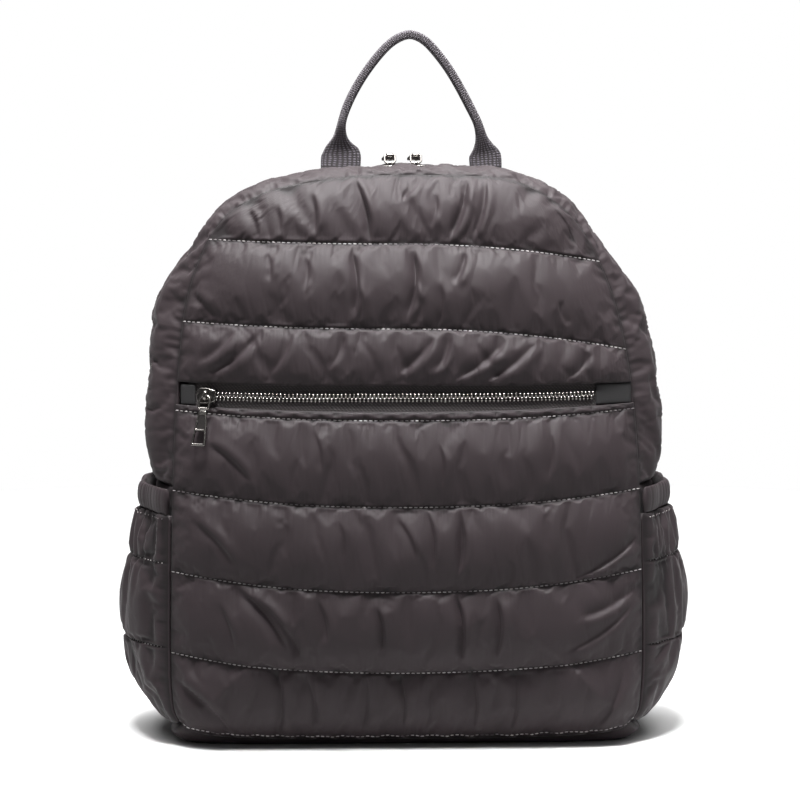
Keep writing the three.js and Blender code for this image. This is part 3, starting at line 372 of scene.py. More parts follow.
def new_piece(
    name, points, faces, finish, body="bag", uv=None, rise=clear_of_painted_shade
):
    """A mesh object from points in millimetres, its normals turned outwards. Rise is how far the
    cloth stands above its seams, in millimetres; the nylon paints shade where rise is small."""
    mesh = bpy.data.meshes.new(name)
    mesh.from_pydata((np.asarray(points) / 1000).tolist(), [], [list(map(int, f)) for f in faces])
    if uv is not None:
        corners = np.empty(len(mesh.loops), int)
        mesh.loops.foreach_get("vertex_index", corners)
        layer = mesh.uv_layers.new(name="cloth")
        layer.data.foreach_set("uv", (np.asarray(uv)[corners] / 1000).astype(np.float32).ravel())
    mesh.materials.append(finish)
    piece = bpy.data.objects.new(name, mesh)
    bpy.context.scene.collection.objects.link(piece)
    shell = bmesh.new()
    shell.from_mesh(mesh)
    if shell.calc_volume(signed=True) < 0:
        mesh.flip_normals()
    shell.free()
    mesh.shade_smooth()
    layer = mesh.attributes.new("rise", "FLOAT", "POINT")
    layer.data.foreach_set("value", np.broadcast_to(rise, len(points)).astype(np.float32))
    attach(piece, body)
    return piece


def closed(outer, inner, step=6):
    """Points and faces of a pad: its fine outer sheet, a coarse lining and the rim between."""
    rows, columns = outer.shape[:2]
    marks = [
        np.unique(np.linspace(0, n - 1, max(n // step, 2) + 1).round().astype(int))
        for n in (rows, columns)
    ]
    lining = inner[np.ix_(*marks)]
    outside = np.arange(rows * columns).reshape(rows, columns)
    inside = outside.size + np.arange(lining[..., 0].size).reshape(lining.shape[:2])
    faces = quads(rows, columns).tolist()
    faces += (quads(*inside.shape)[:, ::-1] + outside.size).tolist()
    rim = [
        (outside[0], inside[0], marks[1]),
        (outside[:, -1], inside[:, -1], marks[0]),
        (outside[-1, ::-1], inside[-1, ::-1], columns - 1 - marks[1][::-1]),
        (outside[::-1, 0], inside[::-1, 0], rows - 1 - marks[0][::-1]),
    ]
    for edge, backing, turns in rim:
        for index, (first, last) in enumerate(zip(turns[:-1], turns[1:])):
            faces.append([*edge[first:last + 1][::-1], backing[index], backing[index + 1]])
    return np.concatenate([outer.reshape(-1, 3), lining.reshape(-1, 3)]), faces, marks


def creases(along, seed, shortest=5.0, longest=16.0):
    """Sharp valleys of seeded depth at seeded places along a seam, from 0 to 1."""
    wave = waves(along, 0 * along, seed, shortest, longest, lean=0)
    return np.clip(1 - 1.6 * np.abs(wave), 0, 1) ** 1.5


def folds(x, z, table):
    """How deep the cloth lies at each point for folds given by their ends, width and depth."""
    total = np.zeros(x.shape)
    for x0, z0, x1, z1, width, depth in table:
        dx, dz = x1 - x0, z1 - z0
        length = math.hypot(dx, dz)
        share = ((x - x0) * dx + (z - z0) * dz) / length**2
        bend = 0.06 * length * np.sin(np.pi * share)
        off = ((x - x0) * dz - (z - z0) * dx) / length + bend
        ends = smooth(share, -0.12, 0.2) * smooth(-share, -1.12, -0.8)
        steep = np.where(off < 0, 0.38, 1.5) * width
        valley = np.exp(-np.abs(off / steep) ** 1.6)
        bank = np.exp(-((off + 1.5 * width) / (1.2 * width)) ** 2)
        total += depth * ends * (valley - 0.45 * bank)
    return total


def padded_sheet(base, away, puff, seam, along, sewn, seed, fold=None, slack=0.018, pucker=1.0):
    """A padded sheet's outer surface: blown up, given more points, puckered and folded.

    base is where the cloth lies without padding, away the way it puffs, puff how far, seam the
    distance from the nearest stitches and along the place along them, all in millimetres."""
    rough = waves(base[..., 0] + base[..., 1], base[..., 2], seed, 14, 60)
    height = 0.62 * puff * (1 + 0.09 * rough)
    start = base + away * height[..., None]
    blown = blown_up(start, sewn, away, slack=slack)
    facts = [blown, base, away, seam[..., None], along[..., None], puff[..., None]]
    facts = finer(np.concatenate(facts, -1))
    if fold is not None:
        facts = np.moveaxis(denser(np.moveaxis(facts, 1, 0)), 0, 1)
    blown, base, away, seam, along, puff = np.split(facts, [3, 6, 9, 10, 11], -1)
    seam, along, puff = np.maximum(seam[..., 0], 0), along[..., 0], puff[..., 0]
    cover = np.clip(puff / max(puff.max(), 1e-6), 0, 1)
    gathers = creases(along, seed + 1) * 1.3 * np.exp(-seam / 6)
    gathers += creases(along + 0.25 * seam, seed + 2, 14, 44) * 1.1 * np.exp(-seam / 18)
    down = 0.85 * pucker * gathers * np.sqrt(cover)
    if fold is not None:
        down = down + folds(base[..., 0], base[..., 2], fold) * np.sqrt(cover)
    surface = blown - away * down[..., None]
    sunk = ((surface - base) * away).sum(-1)
    surface += away * np.maximum(0.15 * cover - sunk, 0)[..., None]
    return surface, base, away


def channel_grid(channels, columns, spacing=2.5):
    """Rows of points over channels that share their stitches, with the facts on each row."""
    across = np.linspace(0, 1, columns)
    places, shares, heights, puffs, seams = [], [], [], [], []
    for index, (low, high, puff) in enumerate(channels):
        middle = (low[2](np.array([0.5])) - high[2](np.array([0.5])))[0, 1]
        count = max(int(round(abs(middle) / spacing)), 3)
        even = np.linspace(0, 1, count + 1)
        up = lerp(even, (1 - np.cos(np.pi * even)) / 2, 0.5)
        up = up if index == len(channels) - 1 else up[:-1]
        places.append(patch(low, high, across, up))
        ends = patch(low, high, across, np.array([0.0, 1.0]))
        height = np.linalg.norm(ends[1:] - ends[:1], axis=-1)
        shares.append(np.repeat(up[:, None], columns, 1))
        heights.append(np.repeat(height, len(up), 0))
        puffs.append(np.full((len(up), columns), float(puff)))
        seams.append(sum(map(len, shares)) - len(up))
    places, shares, heights, puffs = map(np.concatenate, (places, shares, heights, puffs))
    seams.append(len(places) - 1)
    return places[..., 0], places[..., 1], shares, heights, puffs, seams


apart = 1000
stitch_rows = {
    "low": (0.159, 0.128, 0.157),
    "low middle": (0.304, 0.275, 0.304),
    "high middle": (0.447, 0.424, 0.447),
    "topstitch": (0.587, 0.574, 0.588),
    "pocket edge": (0.597, 0.589, 0.598),
    "zip edge": (0.637, 0.634, 0.634),
    "high": (0.743, 0.733, 0.692),
    "top": (0.887, 0.88, 0.847),
}
rows = {name: row_line(*row) for name, row in stitch_rows.items()}
hem_corner = panel_lift + 0.03 * panel_height
hem_left, hem_right = share_at(-1, hem_corner), share_at(1, hem_corner)
bottom_line = outline_line(hem_left, hem_right, hem_right - hem_left - 1)
crest_left = lerp(rows["top"][0], crest_share, 0.4)
crest_right = lerp(rows["top"][1], crest_share, 0.4)
crest_line = outline_line(crest_left, crest_right)


def quilted_sheet(channels, columns, seed, y_at, side, spacing=2.5, flat_from=0.5, **cloth):
    """A panel's padded sheet in channels, on its front (-1) or back (1) side, and its rows.

    y_at gives the panel's place without padding, and each channel is level past flat_from."""
    x, z, up, height, puff, seams = channel_grid(channels, columns, spacing)
    distance, along_edge = nearest_outline(x, z)
    base = np.stack([x, y_at(z, distance), z], -1)
    away = np.broadcast_to([0.0, side, 0.0], base.shape)
    near_row = np.minimum(up, 1 - up)
    lift = puff * puff_share(np.minimum(near_row, flat_from)) * edge_fade(distance)
    to_row = near_row * height
    seam = np.minimum(to_row, distance)
    along = np.where(distance < to_row, along_edge + apart, x)
    sewn = np.zeros(x.shape, bool)
    sewn[seams] = True
    sewn[:, [0, -1]] = True
    made = padded_sheet(base, away, lift, seam, along, sewn, seed, slack=0.012, **cloth)
    return (*made, [2 * row for row in seams])


def cloth_place(outer):
    """How far each point of a grid lies along its row and its column, over the cloth."""
    widths = np.linalg.norm(np.diff(outer, axis=1), axis=-1)
    heights = np.linalg.norm(np.diff(outer, axis=0), axis=-1)
    u = np.concatenate([np.zeros((len(outer), 1)), np.cumsum(widths, 1)], 1)
    v = np.concatenate([np.zeros((1, outer.shape[1])), np.cumsum(heights, 0)], 0)
    return u, v


def with_lining(u, v, marks):
    """Cloth coordinates of a closed pad's points: its outer sheet's, then its lining's."""
    uv = np.stack([u, v], -1)
    return np.concatenate([uv.reshape(-1, 2), uv[np.ix_(*marks)].reshape(-1, 2)])


def pad(name, sheet, thickness, finish, replaces):
    """A closed padded piece from a sheet, its lining a wall's thickness behind the cloth."""
    surface, base, away = sheet[:3]
    points, faces, marks = closed(surface, base - away * thickness)
    u, v = cloth_place(surface)
    edge = np.minimum(np.minimum(u, u[:, -1:] - u), np.minimum(v, v[-1:] - v))
    # Painted shade: rise, capped by the distance to the sheet's edge, darkens the cloth in its
    # seams and round its edges; the lining is kept clear of it.
    rise = np.minimum(((surface - base) * away).sum(-1), 0.75 * edge)
    rise = np.concatenate([rise.ravel(), np.full(marks[0].size * marks[1].size, clear_of_painted_shade)])
    flat = with_lining(u - u[:, [u.shape[1] // 2]], v, marks)
    piece = new_piece(name, points, faces, finish, uv=flat, rise=rise)
    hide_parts(*replaces)
    return piece


def quilted_nylon():
    """Satin nylon taffeta, woven of flat filament and calendered, over wadding: a soft gloss that
    runs along the folds. The real threads lie 0.12 mm apart; they are drawn 0.5 mm apart."""
    made, tree, shader = material(
        "satin nylon taffeta",
        Specular_IOR_Level=0.25,
        Sheen_Weight=0.05,
        Sheen_Roughness=0.4,
    )
    cloth = node(tree, "ShaderNodeUVMap", {"uv_map": "cloth"}).outputs[0]
    place = node(tree, "ShaderNodeTexCoord").outputs["Object"]
    warp, weft = (
        node(tree, "ShaderNodeTexWave", {"bands_direction": way}, Vector=cloth, Scale=628.0)
        for way in "XY"
    )
    weave = node(
        tree, "ShaderNodeMath", {"operation": "MULTIPLY"}, _0=warp.outputs[1], _1=weft.outputs[1]
    )
    crinkle = node(
        tree, "ShaderNodeTexNoise", Vector=place, Scale=240.0, Detail=4.0, Roughness=0.55
    )
    drift = node(tree, "ShaderNodeTexNoise", Vector=place, Scale=14.0, Detail=3.0)
    shades = {"_6": linear("#272022"), "_7": linear("#2f272a")}
    tone = node(tree, "ShaderNodeMix", {"data_type": "RGBA"}, Factor=drift.outputs[0], **shades)
    # Painted shade: the base colour is darkened down to 0.4 where the cloth rises less than 1.3 mm
    # above its seams and edges, standing in for the shadow in the seams.
    rise = node(tree, "ShaderNodeAttribute", {"attribute_name": "rise"}).outputs["Fac"]
    painted_seam_shade = node(
        tree, "ShaderNodeMapRange", Value=rise, From_Min=0.1, From_Max=1.3, To_Min=0.4
    )
    painted_shade_tone = node(
        tree,
        "ShaderNodeMix",
        {"data_type": "RGBA", "blend_type": "MULTIPLY"},
        Factor=1.0,
        _6=tone.outputs[2],
        _7=painted_seam_shade.outputs[0],
    )
    tree.links.new(painted_shade_tone.outputs[2], shader.inputs["Base Color"])
    gloss = node(tree, "ShaderNodeMapRange", Value=drift.outputs["Fac"], To_Min=0.56, To_Max=0.66)
    tree.links.new(gloss.outputs[0], shader.inputs["Roughness"])
    fine = node(tree, "ShaderNodeBump", Strength=0.25, Distance=0.00006, Height=weave.outputs[0])
    bump = node(
        tree,
        "ShaderNodeBump",
        Strength=0.2,
        Distance=0.0005,
        Height=crinkle.outputs[0],
        Normal=fine.outputs[0],
    )
    tree.links.new(bump.outputs[0], shader.inputs["Normal"])
    return made


nylon = quilted_nylon()

# Main folds of the front, as the photograph shows them: both ends, width and depth in mm.
pocket_folds = [
    (-109, 107, -80, 72, 3.2, 3.4), (-96, 100, -70, 66, 2.6, 2.2), (-121, 96, -112, 66, 2.6, 1.8),
    (-20, 95, -17, 70, 2.4, 2.8), (31, 103, 34, 62, 2.4, 3.2), (57, 100, 57, 66, 2.6, 3.0),
    (-58, 100, -52, 76, 2.2, 1.6), (150, 105, 112, 88, 3.4, 2.6), (148, 96, 104, 66, 3.0, 2.0),
    (-152, 46, -116, 13, 3.4, 3.6), (-85, 54, -83, 14, 2.6, 2.6), (-66, 50, -60, 18, 2.2, 1.8),
    (-28, 50, -30, 12, 2.4, 1.8), (-6, 52, -3, 16, 2.0, 2.4), (40, 54, 43, 14, 2.4, 2.2),
    (69, 54, 67, 10, 2.4, 2.0), (14, 40, 12, 14, 2.0, 1.4), (140, 46, 122, 10, 3.2, 2.2),
    (12, 158, 16, 124, 2.2, 2.0), (33, 158, 32, 118, 2.4, 2.6), (-6, 152, 4, 132, 2.0, 1.4),
    (150, 138, 110, 114, 3.2, 2.8), (-138, 150, -112, 124, 3.0, 1.8),
    (-44, 150, -42, 128, 2.0, 1.2), (-60, 208, -56, 186, 2.2, 1.4), (20, 200, 22, 176, 2.2, 1.4),
    (92, 206, 90, 180, 2.4, 1.6), (-128, 200, -102, 178, 2.8, 1.8),
]
upper_folds = [
    (-33, 369, -24, 331, 2.6, 3.6), (-61, 360, -59, 336, 2.4, 2.2), (9, 370, -4, 356, 2.2, 1.8),
    (40, 368, 28, 332, 2.6, 3.6), (52, 368, 43, 332, 2.2, 2.8), (-102, 350, -96, 332, 2.4, 2.4),
    (96, 350, 112, 326, 2.6, 1.6), (20, 358, 16, 340, 2.0, 1.2), (-84, 352, -82, 336, 2.0, 1.4),
    (-35, 322, -34, 284, 2.6, 3.0), (5, 322, 0, 282, 2.6, 3.0), (38, 322, 31, 304, 2.4, 2.4),
    (-90, 322, -88, 306, 2.2, 1.6), (-30, 298, -31, 278, 2.2, 1.6), (22, 300, 20, 276, 2.2, 1.6),
    (-140, 296, -124, 280, 2.6, 2.0), (104, 276, 98, 290, 2.4, 1.4), (-64, 318, -66, 300, 2.0, 1.2),
    (-112, 272, -134, 252, 3.0, 2.4), (-96, 270, -128, 244, 3.2, 2.4),
    (-74, 272, -88, 246, 2.8, 2.0),
    (17, 268, -4, 247, 3.0, 2.8), (28, 268, 18, 248, 2.6, 1.8), (63, 266, 32, 243, 3.2, 3.0),
    (82, 264, 50, 241, 3.0, 2.2), (120, 256, 104, 242, 2.8, 1.6), (-40, 270, -50, 250, 2.4, 1.6),
]

front_puff, lip_puff, front_columns = 8, 2, 125
pocket_lines = [bottom_line] + [
    rows[name] for name in ("low", "low middle", "high middle", "topstitch", "pocket edge")
]
pocket_puffs = [front_puff] * 4 + [lip_puff]
pocket_channels = list(zip(pocket_lines, pocket_lines[1:], pocket_puffs))
upper_lines = [rows["zip edge"], rows["high"], rows["top"], crest_line]
upper_channels = [(low, high, front_puff) for low, high in zip(upper_lines, upper_lines[1:])]
pocket_sheet, upper_sheet = (
    quilted_sheet(channels, front_columns, seed, front_y, -1.0, fold=fold, pucker=0.6)
    for channels, seed, fold in (
        (pocket_channels, 11, pocket_folds), (upper_channels, 23, upper_folds)
    )
)
pad("front_pocket", pocket_sheet, seam_wall, nylon, ["front_pocket_panel"])
pad("front_upper", upper_sheet, seam_wall, nylon, ["front_upper_panel"])

# Quilting thread. Light grey spun polyester, sewn by machine: each stitch is a short raised grain
# with a dip at both needle holes, 3.3 mm from the next. A tree lays them along each row.

def spun_thread(name, dark, pale):
    made, tree, shader = material(name, Roughness=0.75)
    place = node(tree, "ShaderNodeTexCoord").outputs["Object"]
    fuzz = node(tree, "ShaderNodeTexNoise", Vector=place, Scale=900.0, Detail=2.0)
    shade = node(tree, "ShaderNodeTexNoise", Vector=place, Scale=90.0, Detail=2.0)
    paler = node(tree, "ShaderNodeMapRange", Value=shade.outputs[0], From_Min=0.36, From_Max=0.6)
    shades = {"_6": linear(dark), "_7": linear(pale)}
    tone = node(tree, "ShaderNodeMix", {"data_type": "RGBA"}, Factor=paler.outputs[0], **shades)
    tree.links.new(tone.outputs[2], shader.inputs["Base Color"])
    bump = node(tree, "ShaderNodeBump", Strength=0.4, Distance=0.0001, Height=fuzz.outputs["Fac"])
    tree.links.new(bump.outputs[0], shader.inputs["Normal"])
    return made


pale_thread = spun_thread("pale spun thread", "#575053", "#b4afaf")
dark_thread = spun_thread("dark spun thread", "#4a4345", "#625a5c")


def laid_along(name, lines, pitch, size, shape, finish, offset=0.0, spread=0.0, seed=1):
    """Small solids of one shape along lines, each a list of points and of outward directions in
    millimetres. The tree's inputs are the pitch along the line, the solid's size and its offset."""
    points = np.concatenate([np.asarray(line, float) for line, _ in lines])
    outs = np.concatenate([np.broadcast_to(out, np.shape(line)) for line, out in lines])
    ends = np.cumsum([len(line) for line, _ in lines])
    edges = [(at, at + 1) for at in range(len(points) - 1) if at + 1 not in ends]
    mesh = bpy.data.meshes.new(name)
    mesh.from_pydata((points / 1000).tolist(), edges, [])
    out = mesh.attributes.new("out", "FLOAT_VECTOR", "POINT")
    out.data.foreach_set("vector", outs.astype(np.float32).ravel())
    piece = bpy.data.objects.new(name, mesh)
    bpy.context.scene.collection.objects.link(piece)

    group = bpy.data.node_groups.new(name, "GeometryNodeTree")
    group.interface.new_socket("Line", in_out="INPUT", socket_type="NodeSocketGeometry")
    inputs = {}
    for label, kind in (
        ("Pitch", "Float"), ("Size", "Vector"), ("Offset", "Vector"), ("Spread", "Float")
    ):
        inputs[label] = group.interface.new_socket(
            label, in_out="INPUT", socket_type="NodeSocket" + kind
        )
    group.interface.new_socket("Solids", in_out="OUTPUT", socket_type="NodeSocketGeometry")
    given = node(group, "NodeGroupInput").outputs
    curve = node(group, "GeometryNodeMeshToCurve", Mesh=given["Line"])
    even = node(
        group,
        "GeometryNodeResampleCurve",
        {"mode": "LENGTH"},
        Curve=curve.outputs[0],
        Length=given["Pitch"],
    )
    direction = node(
        group, "GeometryNodeInputNamedAttribute", {"data_type": "FLOAT_VECTOR"}, Name="out"
    )
    tangent = node(group, "GeometryNodeInputTangent")
    turn = node(
        group,
        "FunctionNodeAxesToRotation",
        {"primary_axis": "Z", "secondary_axis": "X"},
        _0=direction.outputs["Attribute"],
        _1=tangent.outputs[0],
    )
    less, more = (
        node(group, "ShaderNodeVectorMath", {"operation": "SCALE"}, _0=way, Scale=given["Spread"])
        for way in ((-1.0, -1.0, -1.0), (1.0, 1.0, 1.0))
    )
    wobble = node(
        group,
        "FunctionNodeRandomValue",
        {"data_type": "FLOAT_VECTOR"},
        _0=less.outputs[0],
        _1=more.outputs[0],
        Seed=seed,
    )
    tilt = node(group, "FunctionNodeEulerToRotation", Euler=wobble.outputs[0])
    tilted = node(
        group,
        "FunctionNodeRotateRotation",
        {"rotation_space": "LOCAL"},
        _0=turn.outputs[0],
        _1=tilt.outputs[0],
    )
    if shape == "grain":
        solid = node(group, "GeometryNodeMeshUVSphere", Segments=6, Rings=5, Radius=0.5).outputs[0]
    else:
        block = node(group, "GeometryNodeMeshCube").outputs[0]
        solid = node(
            group, "GeometryNodeSubdivisionSurface", Mesh=block, Level=1, Edge_Crease=0.55
        ).outputs[0]
    placed = node(
        group,
        "GeometryNodeTransform",
        Geometry=solid,
        Translation=given["Offset"],
        Scale=given["Size"],
    )
    laid = node(
        group,
        "GeometryNodeInstanceOnPoints",
        Points=even.outputs[0],
        Instance=placed.outputs[0],
        Rotation=tilted.outputs[0],
    )
    real = node(group, "GeometryNodeRealizeInstances", Geometry=laid.outputs[0])
    done = node(group, "GeometryNodeSetMaterial", Geometry=real.outputs[0], Material=finish)
    node(group, "NodeGroupOutput", Solids=done.outputs[0])

    layer = piece.modifiers.new(name, "NODES")
    layer.node_group = group
    values = {
        "Pitch": pitch / 1000,
        "Size": [part / 1000 for part in size],
        "Offset": [part / 1000 for part in np.broadcast_to(offset, 3)],
        "Spread": spread,
    }
    for label, value in values.items():
        layer[inputs[label].identifier] = value
    plain = as_mesh(piece)
    piece.modifiers.clear()
    piece.data = plain
    bpy.data.meshes.remove(mesh)
    plain.shade_smooth()
    return piece


def stitched(name, lines, pitch=3.3, seed=1, width=0.75, finish=pale_thread):
    size = (pitch * 0.8, width, 0.6)
    piece = laid_along(
        name, lines, pitch, size, "grain", finish, offset=(0, 0, 0.25), spread=0.06, seed=seed
    )
    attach(piece, "bag")
    return piece


def seam_line(sheet, row, trim=2):
    """A row of a sheet's own points, as a line for stitches."""
    surface, _, away = sheet[:3]
    return surface[row, trim:-trim], away[row, trim:-trim]


pocket_rows, upper_rows = pocket_sheet[3], upper_sheet[3]
stitched(
    "front_stitches",
    [seam_line(pocket_sheet, row) for row in pocket_rows[1:5]]
    + [seam_line(pocket_sheet, 4)]
    + [seam_line(upper_sheet, row) for row in upper_rows[1:3]],
)

# Gussets. Two padded strips of the same nylon run round the bag on each side of the main zip, cut
# longer than the seams that hold them, so that they gather into short puckers and stand in a roll.

gusset_wall, rear_puff = 2.2, 6
main_zip_at, main_zip_width = 0.4, 15
zip_end = 171
low_bulge, middle_bulge, shoulder_bulge, level_bulge = 7, 20, 4, 2
fuller_over, flatter_over = (135, 220), (275, 335)


def belly(depth, fullness=2.6):
    return 1 - np.abs(2 * depth - 1) ** fullness


def girth_bulge(share):
    height = outline_at(share)[..., 1]
    above = lerp(middle_bulge, shoulder_bulge, smooth(height, *flatter_over))
    side = lerp(low_bulge, above, smooth(height, *fuller_over))
    return lerp(level_bulge, side, np.abs(outward_at(share)[..., 0]))


def between_seams(height, depth):
    """How far back a point lies whose depth is 0 at the front seam and 1 at the back seam."""
    front = front_seam(height) + seam_wall + seam_gap
    return lerp(front, back_plane - seam_wall - seam_gap, depth)


def girth_point(share, depth, lift=0):
    """A point on the bag's side: depth from 0 at the front seam to 1 at the back seam."""
    share, depth = np.broadcast_arrays(share, depth)
    edge = outline_at(share)
    flat = edge + outward_at(share) * (girth_bulge(share) * belly(depth) + lift)[..., None]
    return np.stack([flat[..., 0], between_seams(edge[..., 1], depth), flat[..., 1]], -1)


def girth_away(share, depth):
    share, _ = np.broadcast_arrays(share, depth)
    out = outward_at(share)
    return np.stack([out[..., 0], 0 * out[..., 0], out[..., 1]], -1)


def girth_depth(share):
    return back_plane - front_seam(outline_at(share)[..., 1]) - 2 * (seam_wall + seam_gap)


gap_share = seam_gap / outline_length
zip_left, zip_right = share_at(-1, zip_end), share_at(1, zip_end)


def zip_edge(side):
    return lambda share: main_zip_at + side * main_zip_width / 2 / girth_depth(share)


def seam_edge(depth):
    return lambda share: 0 * share + depth


def strip_sheet(first, last, near, far, puff, seed, spacing=2.6, **cloth):
    """A strip of the girth from one share of the outline to another, between two depths."""
    columns = int(round(abs(last - first) * outline_length / spacing)) + 1
    share = np.linspace(first, last, columns)[None]
    wide = (far(share) - near(share)) * girth_depth(share)
    count = max(int(round(wide.max() / spacing)), 4)
    even = np.linspace(0, 1, count + 1)[:, None]
    across = lerp(even, (1 - np.cos(np.pi * even)) / 2, 0.4)
    depth = lerp(near(share), far(share), across)
    share = np.broadcast_to(share, depth.shape)
    along = share * outline_length
    to_end = np.minimum(np.abs(share - first), np.abs(share - last)) * outline_length
    seam = np.minimum(np.minimum(across, 1 - across) * wide, to_end)
    lift = puff * puff_share(across) * (1 - np.exp(-to_end / 4))
    sewn = np.zeros(depth.shape, bool)
    sewn[[0, -1]] = True
    sewn[:, [0, -1]] = True
    base = girth_point(share, depth)
    return padded_sheet(base, girth_away(share, depth), lift, seam, along, sewn, seed, **cloth)


first, last = zip_left + gap_share, zip_right - gap_share
front_strip = strip_sheet(
    first, last, seam_edge(0), zip_edge(-1), front_puff, 31, slack=0.022, pucker=1.3
)
rear_strip = strip_sheet(
    first, last, zip_edge(1), seam_edge(1), rear_puff, 37, slack=0.022, pucker=1.2
)
pad("front_gusset_roll", front_strip, gusset_wall, nylon, ["front_gusset"])
pad("rear_gusset_roll", rear_strip, gusset_wall, nylon, ["rear_gusset"])
gusset_lines = [seam_line(front_strip, -4), seam_line(rear_strip, 3)]
stitched("gusset_stitches", gusset_lines, seed=2, finish=dark_thread)

# Sides, base and back. Plain padded nylon below the ends of the main zip and behind the side
# pockets, a firm padded base that stands flat, and a back quilted in level channels.

corner_height, corner_bulge, base_padding, side_puff = 15, 12.6, 5, 2.1
corner_left, corner_right = share_at(-1, corner_height), share_at(1, corner_height)
for name, begin, end, seed in (
    ("left", corner_left + gap_share, zip_left - gap_share, 41),
    ("right", corner_right - gap_share, zip_right + gap_share, 43),
):
    sheet = strip_sheet(
        begin, end, seam_edge(0), seam_edge(1), side_puff, seed, spacing=4, slack=0.02
    )
    pad(f"side_{name}", sheet, gusset_wall, nylon, [f"side_panel_{name}"])


def base_sheet():
    share = np.linspace(corner_left - gap_share, corner_right + gap_share - 1, 121)[None]
    even = np.linspace(0, 1, 37)[:, None]
    depth = lerp(even, (1 - np.cos(np.pi * even)) / 2, 0.7)
    share, depth = np.broadcast_arrays(share, depth)
    edge, out = outline_at(share), outward_at(share)
    to_floor = edge[..., 1] / np.abs(out[..., 1])
    bulge = np.minimum(to_floor, corner_bulge * belly(depth, 8))
    x = edge[..., 0] + out[..., 0] * bulge
    z = np.maximum(edge[..., 1] + out[..., 1] * bulge, 0)
    base = np.stack([x, between_seams(edge[..., 1], depth), z], -1)
    away = np.stack([out[..., 0], 0 * x, out[..., 1]], -1)
    return base, base - away * (base_padding * belly(depth, 6))[..., None], away


pad("base", base_sheet(), gusset_wall, nylon, ["base_panel"])

back_rows = [0.17, 0.33, 0.49, 0.65, 0.8, 0.9]
back_puff, back_crown, back_flat_from, back_columns = 5, 5, 0.2, 81
back_lines = [bottom_line] + [row_line(height, height, height) for height in back_rows]
back_lines.append(outline_line(*(lerp(end, crest_share, 0.4) for end in back_lines[-1][:2])))
back_channels = [(low, high, back_puff) for low, high in zip(back_lines, back_lines[1:])]


def back_y(z, distance):
    return back_plane + back_crown * crown_share(distance)


back = quilted_sheet(
    back_channels, back_columns, 53, back_y, 1.0, spacing=4, flat_from=back_flat_from
)
pad("back", back, seam_wall, nylon, ["back_panel"])
stitched("back_stitches", [seam_line(back, row) for row in back[3][1:-1]], seed=3)

# Side pockets. Quilted nylon pouches sewn into the front and back seams, gathered at the mouth by
# a hem with elastic in it, so that the cloth below falls in creases.

pocket_low, pocket_high, pocket_hollow = 17, 152, 21
pocket_height = pocket_high - pocket_low
pocket_wall, pocket_puff, pocket_spacing, pocket_forward, pleat_depth = 2.4, 4.5, 2.6, 2.1, 4.2
hem_height, hem_thickness, hem_fullness = 17, 6, 6.5
pocket_profile = np.array([
    (0, 0), (0.1, 0.5), (0.24, 0.86), (0.36, 0.98), (0.5, 1), (0.66, 0.96), (0.77, 0.86),
    (0.88, 0.68), (1, 0.52),
])
pocket_seams = np.array([0, 0.36, 0.77, 1])
pocket_inset = 0.012


def gather(depth):
    return 1.6 * belly(depth, 6) * np.cos(2 * np.pi * 3 * depth)


def pocket_sheet_at(side, seed):
    up = np.concatenate([
        lerp(low, high, lerp(t, (1 - np.cos(np.pi * t)) / 2, 0.4))[:-1]
        for low, high in zip(pocket_seams[:-1], pocket_seams[1:])
        for t in [np.linspace(0, 1, int(round((high - low) * pocket_height / pocket_spacing)) + 1)]
    ] + [[1.0]])[:, None]
    depth = np.linspace(pocket_inset, 1 - pocket_inset, 49)[None]
    up, depth = np.broadcast_arrays(up, depth)
    share = share_at(side, lerp(pocket_low, pocket_high, up))
    around = [np.interp(up + off, *pocket_profile.T) for off in (-0.05, -0.025, 0, 0.025, 0.05)]
    off = np.where(up < 0.05, around[2], np.mean(around, 0))
    lift = side_puff * puff_share(depth) + seam_gap + pocket_hollow * off * belly(depth, 2.2)
    lift = lift + pocket_wall + gather(depth) * smooth(up, 0.7, 1)
    channel = np.clip(np.searchsorted(pocket_seams, up, side="right") - 1, 0, 2)
    low, high = pocket_seams[channel], pocket_seams[channel + 1]
    puff = pocket_puff * puff_share((up - low) / (high - low)) * belly(depth, 4)
    wide = girth_depth(share)
    to_row = np.minimum(up - low, high - up) * pocket_height
    to_edge = np.minimum(depth, 1 - depth) * wide
    seam = np.minimum(to_row, to_edge)
    along = np.where(to_edge < to_row, up * pocket_height + apart / 2, depth * wide)
    sewn = np.zeros(up.shape, bool)
    rows_at = [int(np.argmin(np.abs(up[:, 0] - place))) for place in pocket_seams]
    sewn[rows_at] = True
    sewn[:, [0, -1]] = True
    lift = lerp(0.5, lift, smooth(to_edge, -1.5, 5))
    base, away = girth_point(share, depth, lift), girth_away(share, depth)
    base[..., 1] -= pocket_forward * np.exp(-depth * wide / 4)
    surface, base, away = padded_sheet(
        base, away, puff, seam, along, sewn, seed, slack=0.045, pucker=1.3
    )
    up, across = finer(np.stack([up, depth * wide], -1)).transpose(2, 0, 1)
    gathered = smooth(up, 0.45, 0.95) * np.sin(np.pi * across / wide.max()) ** 0.5
    pleats = creases(across, seed + 5, 9, 26) * pleat_depth * gathered
    return surface - away * pleats[..., None], base, away, [2 * row for row in rows_at]


def tube(sections, close_ends=True):
    """Points and faces of a skin over closed sections with the same number of points."""
    count, sides = sections.shape[:2]
    at = np.arange(count * sides).reshape(count, sides)
    beside = np.roll(at, -1, 1)
    faces = np.stack([at[:-1], beside[:-1], beside[1:], at[1:]], -1).reshape(-1, 4).tolist()
    if close_ends:
        faces += [at[0, ::-1].tolist(), at[-1].tolist()]
    return sections.reshape(-1, 3), faces


def section_uv(sections):
    """Cloth coordinates of a skin: round each section and along the middle line."""
    round_it = np.linalg.norm(np.diff(sections, axis=1), axis=-1).mean(0)
    u = np.concatenate([[0], np.cumsum(round_it)])
    v = lengths_along(sections.mean(1))
    return np.stack(np.broadcast_arrays(u[None], v[:, None]), -1).reshape(-1, 2)


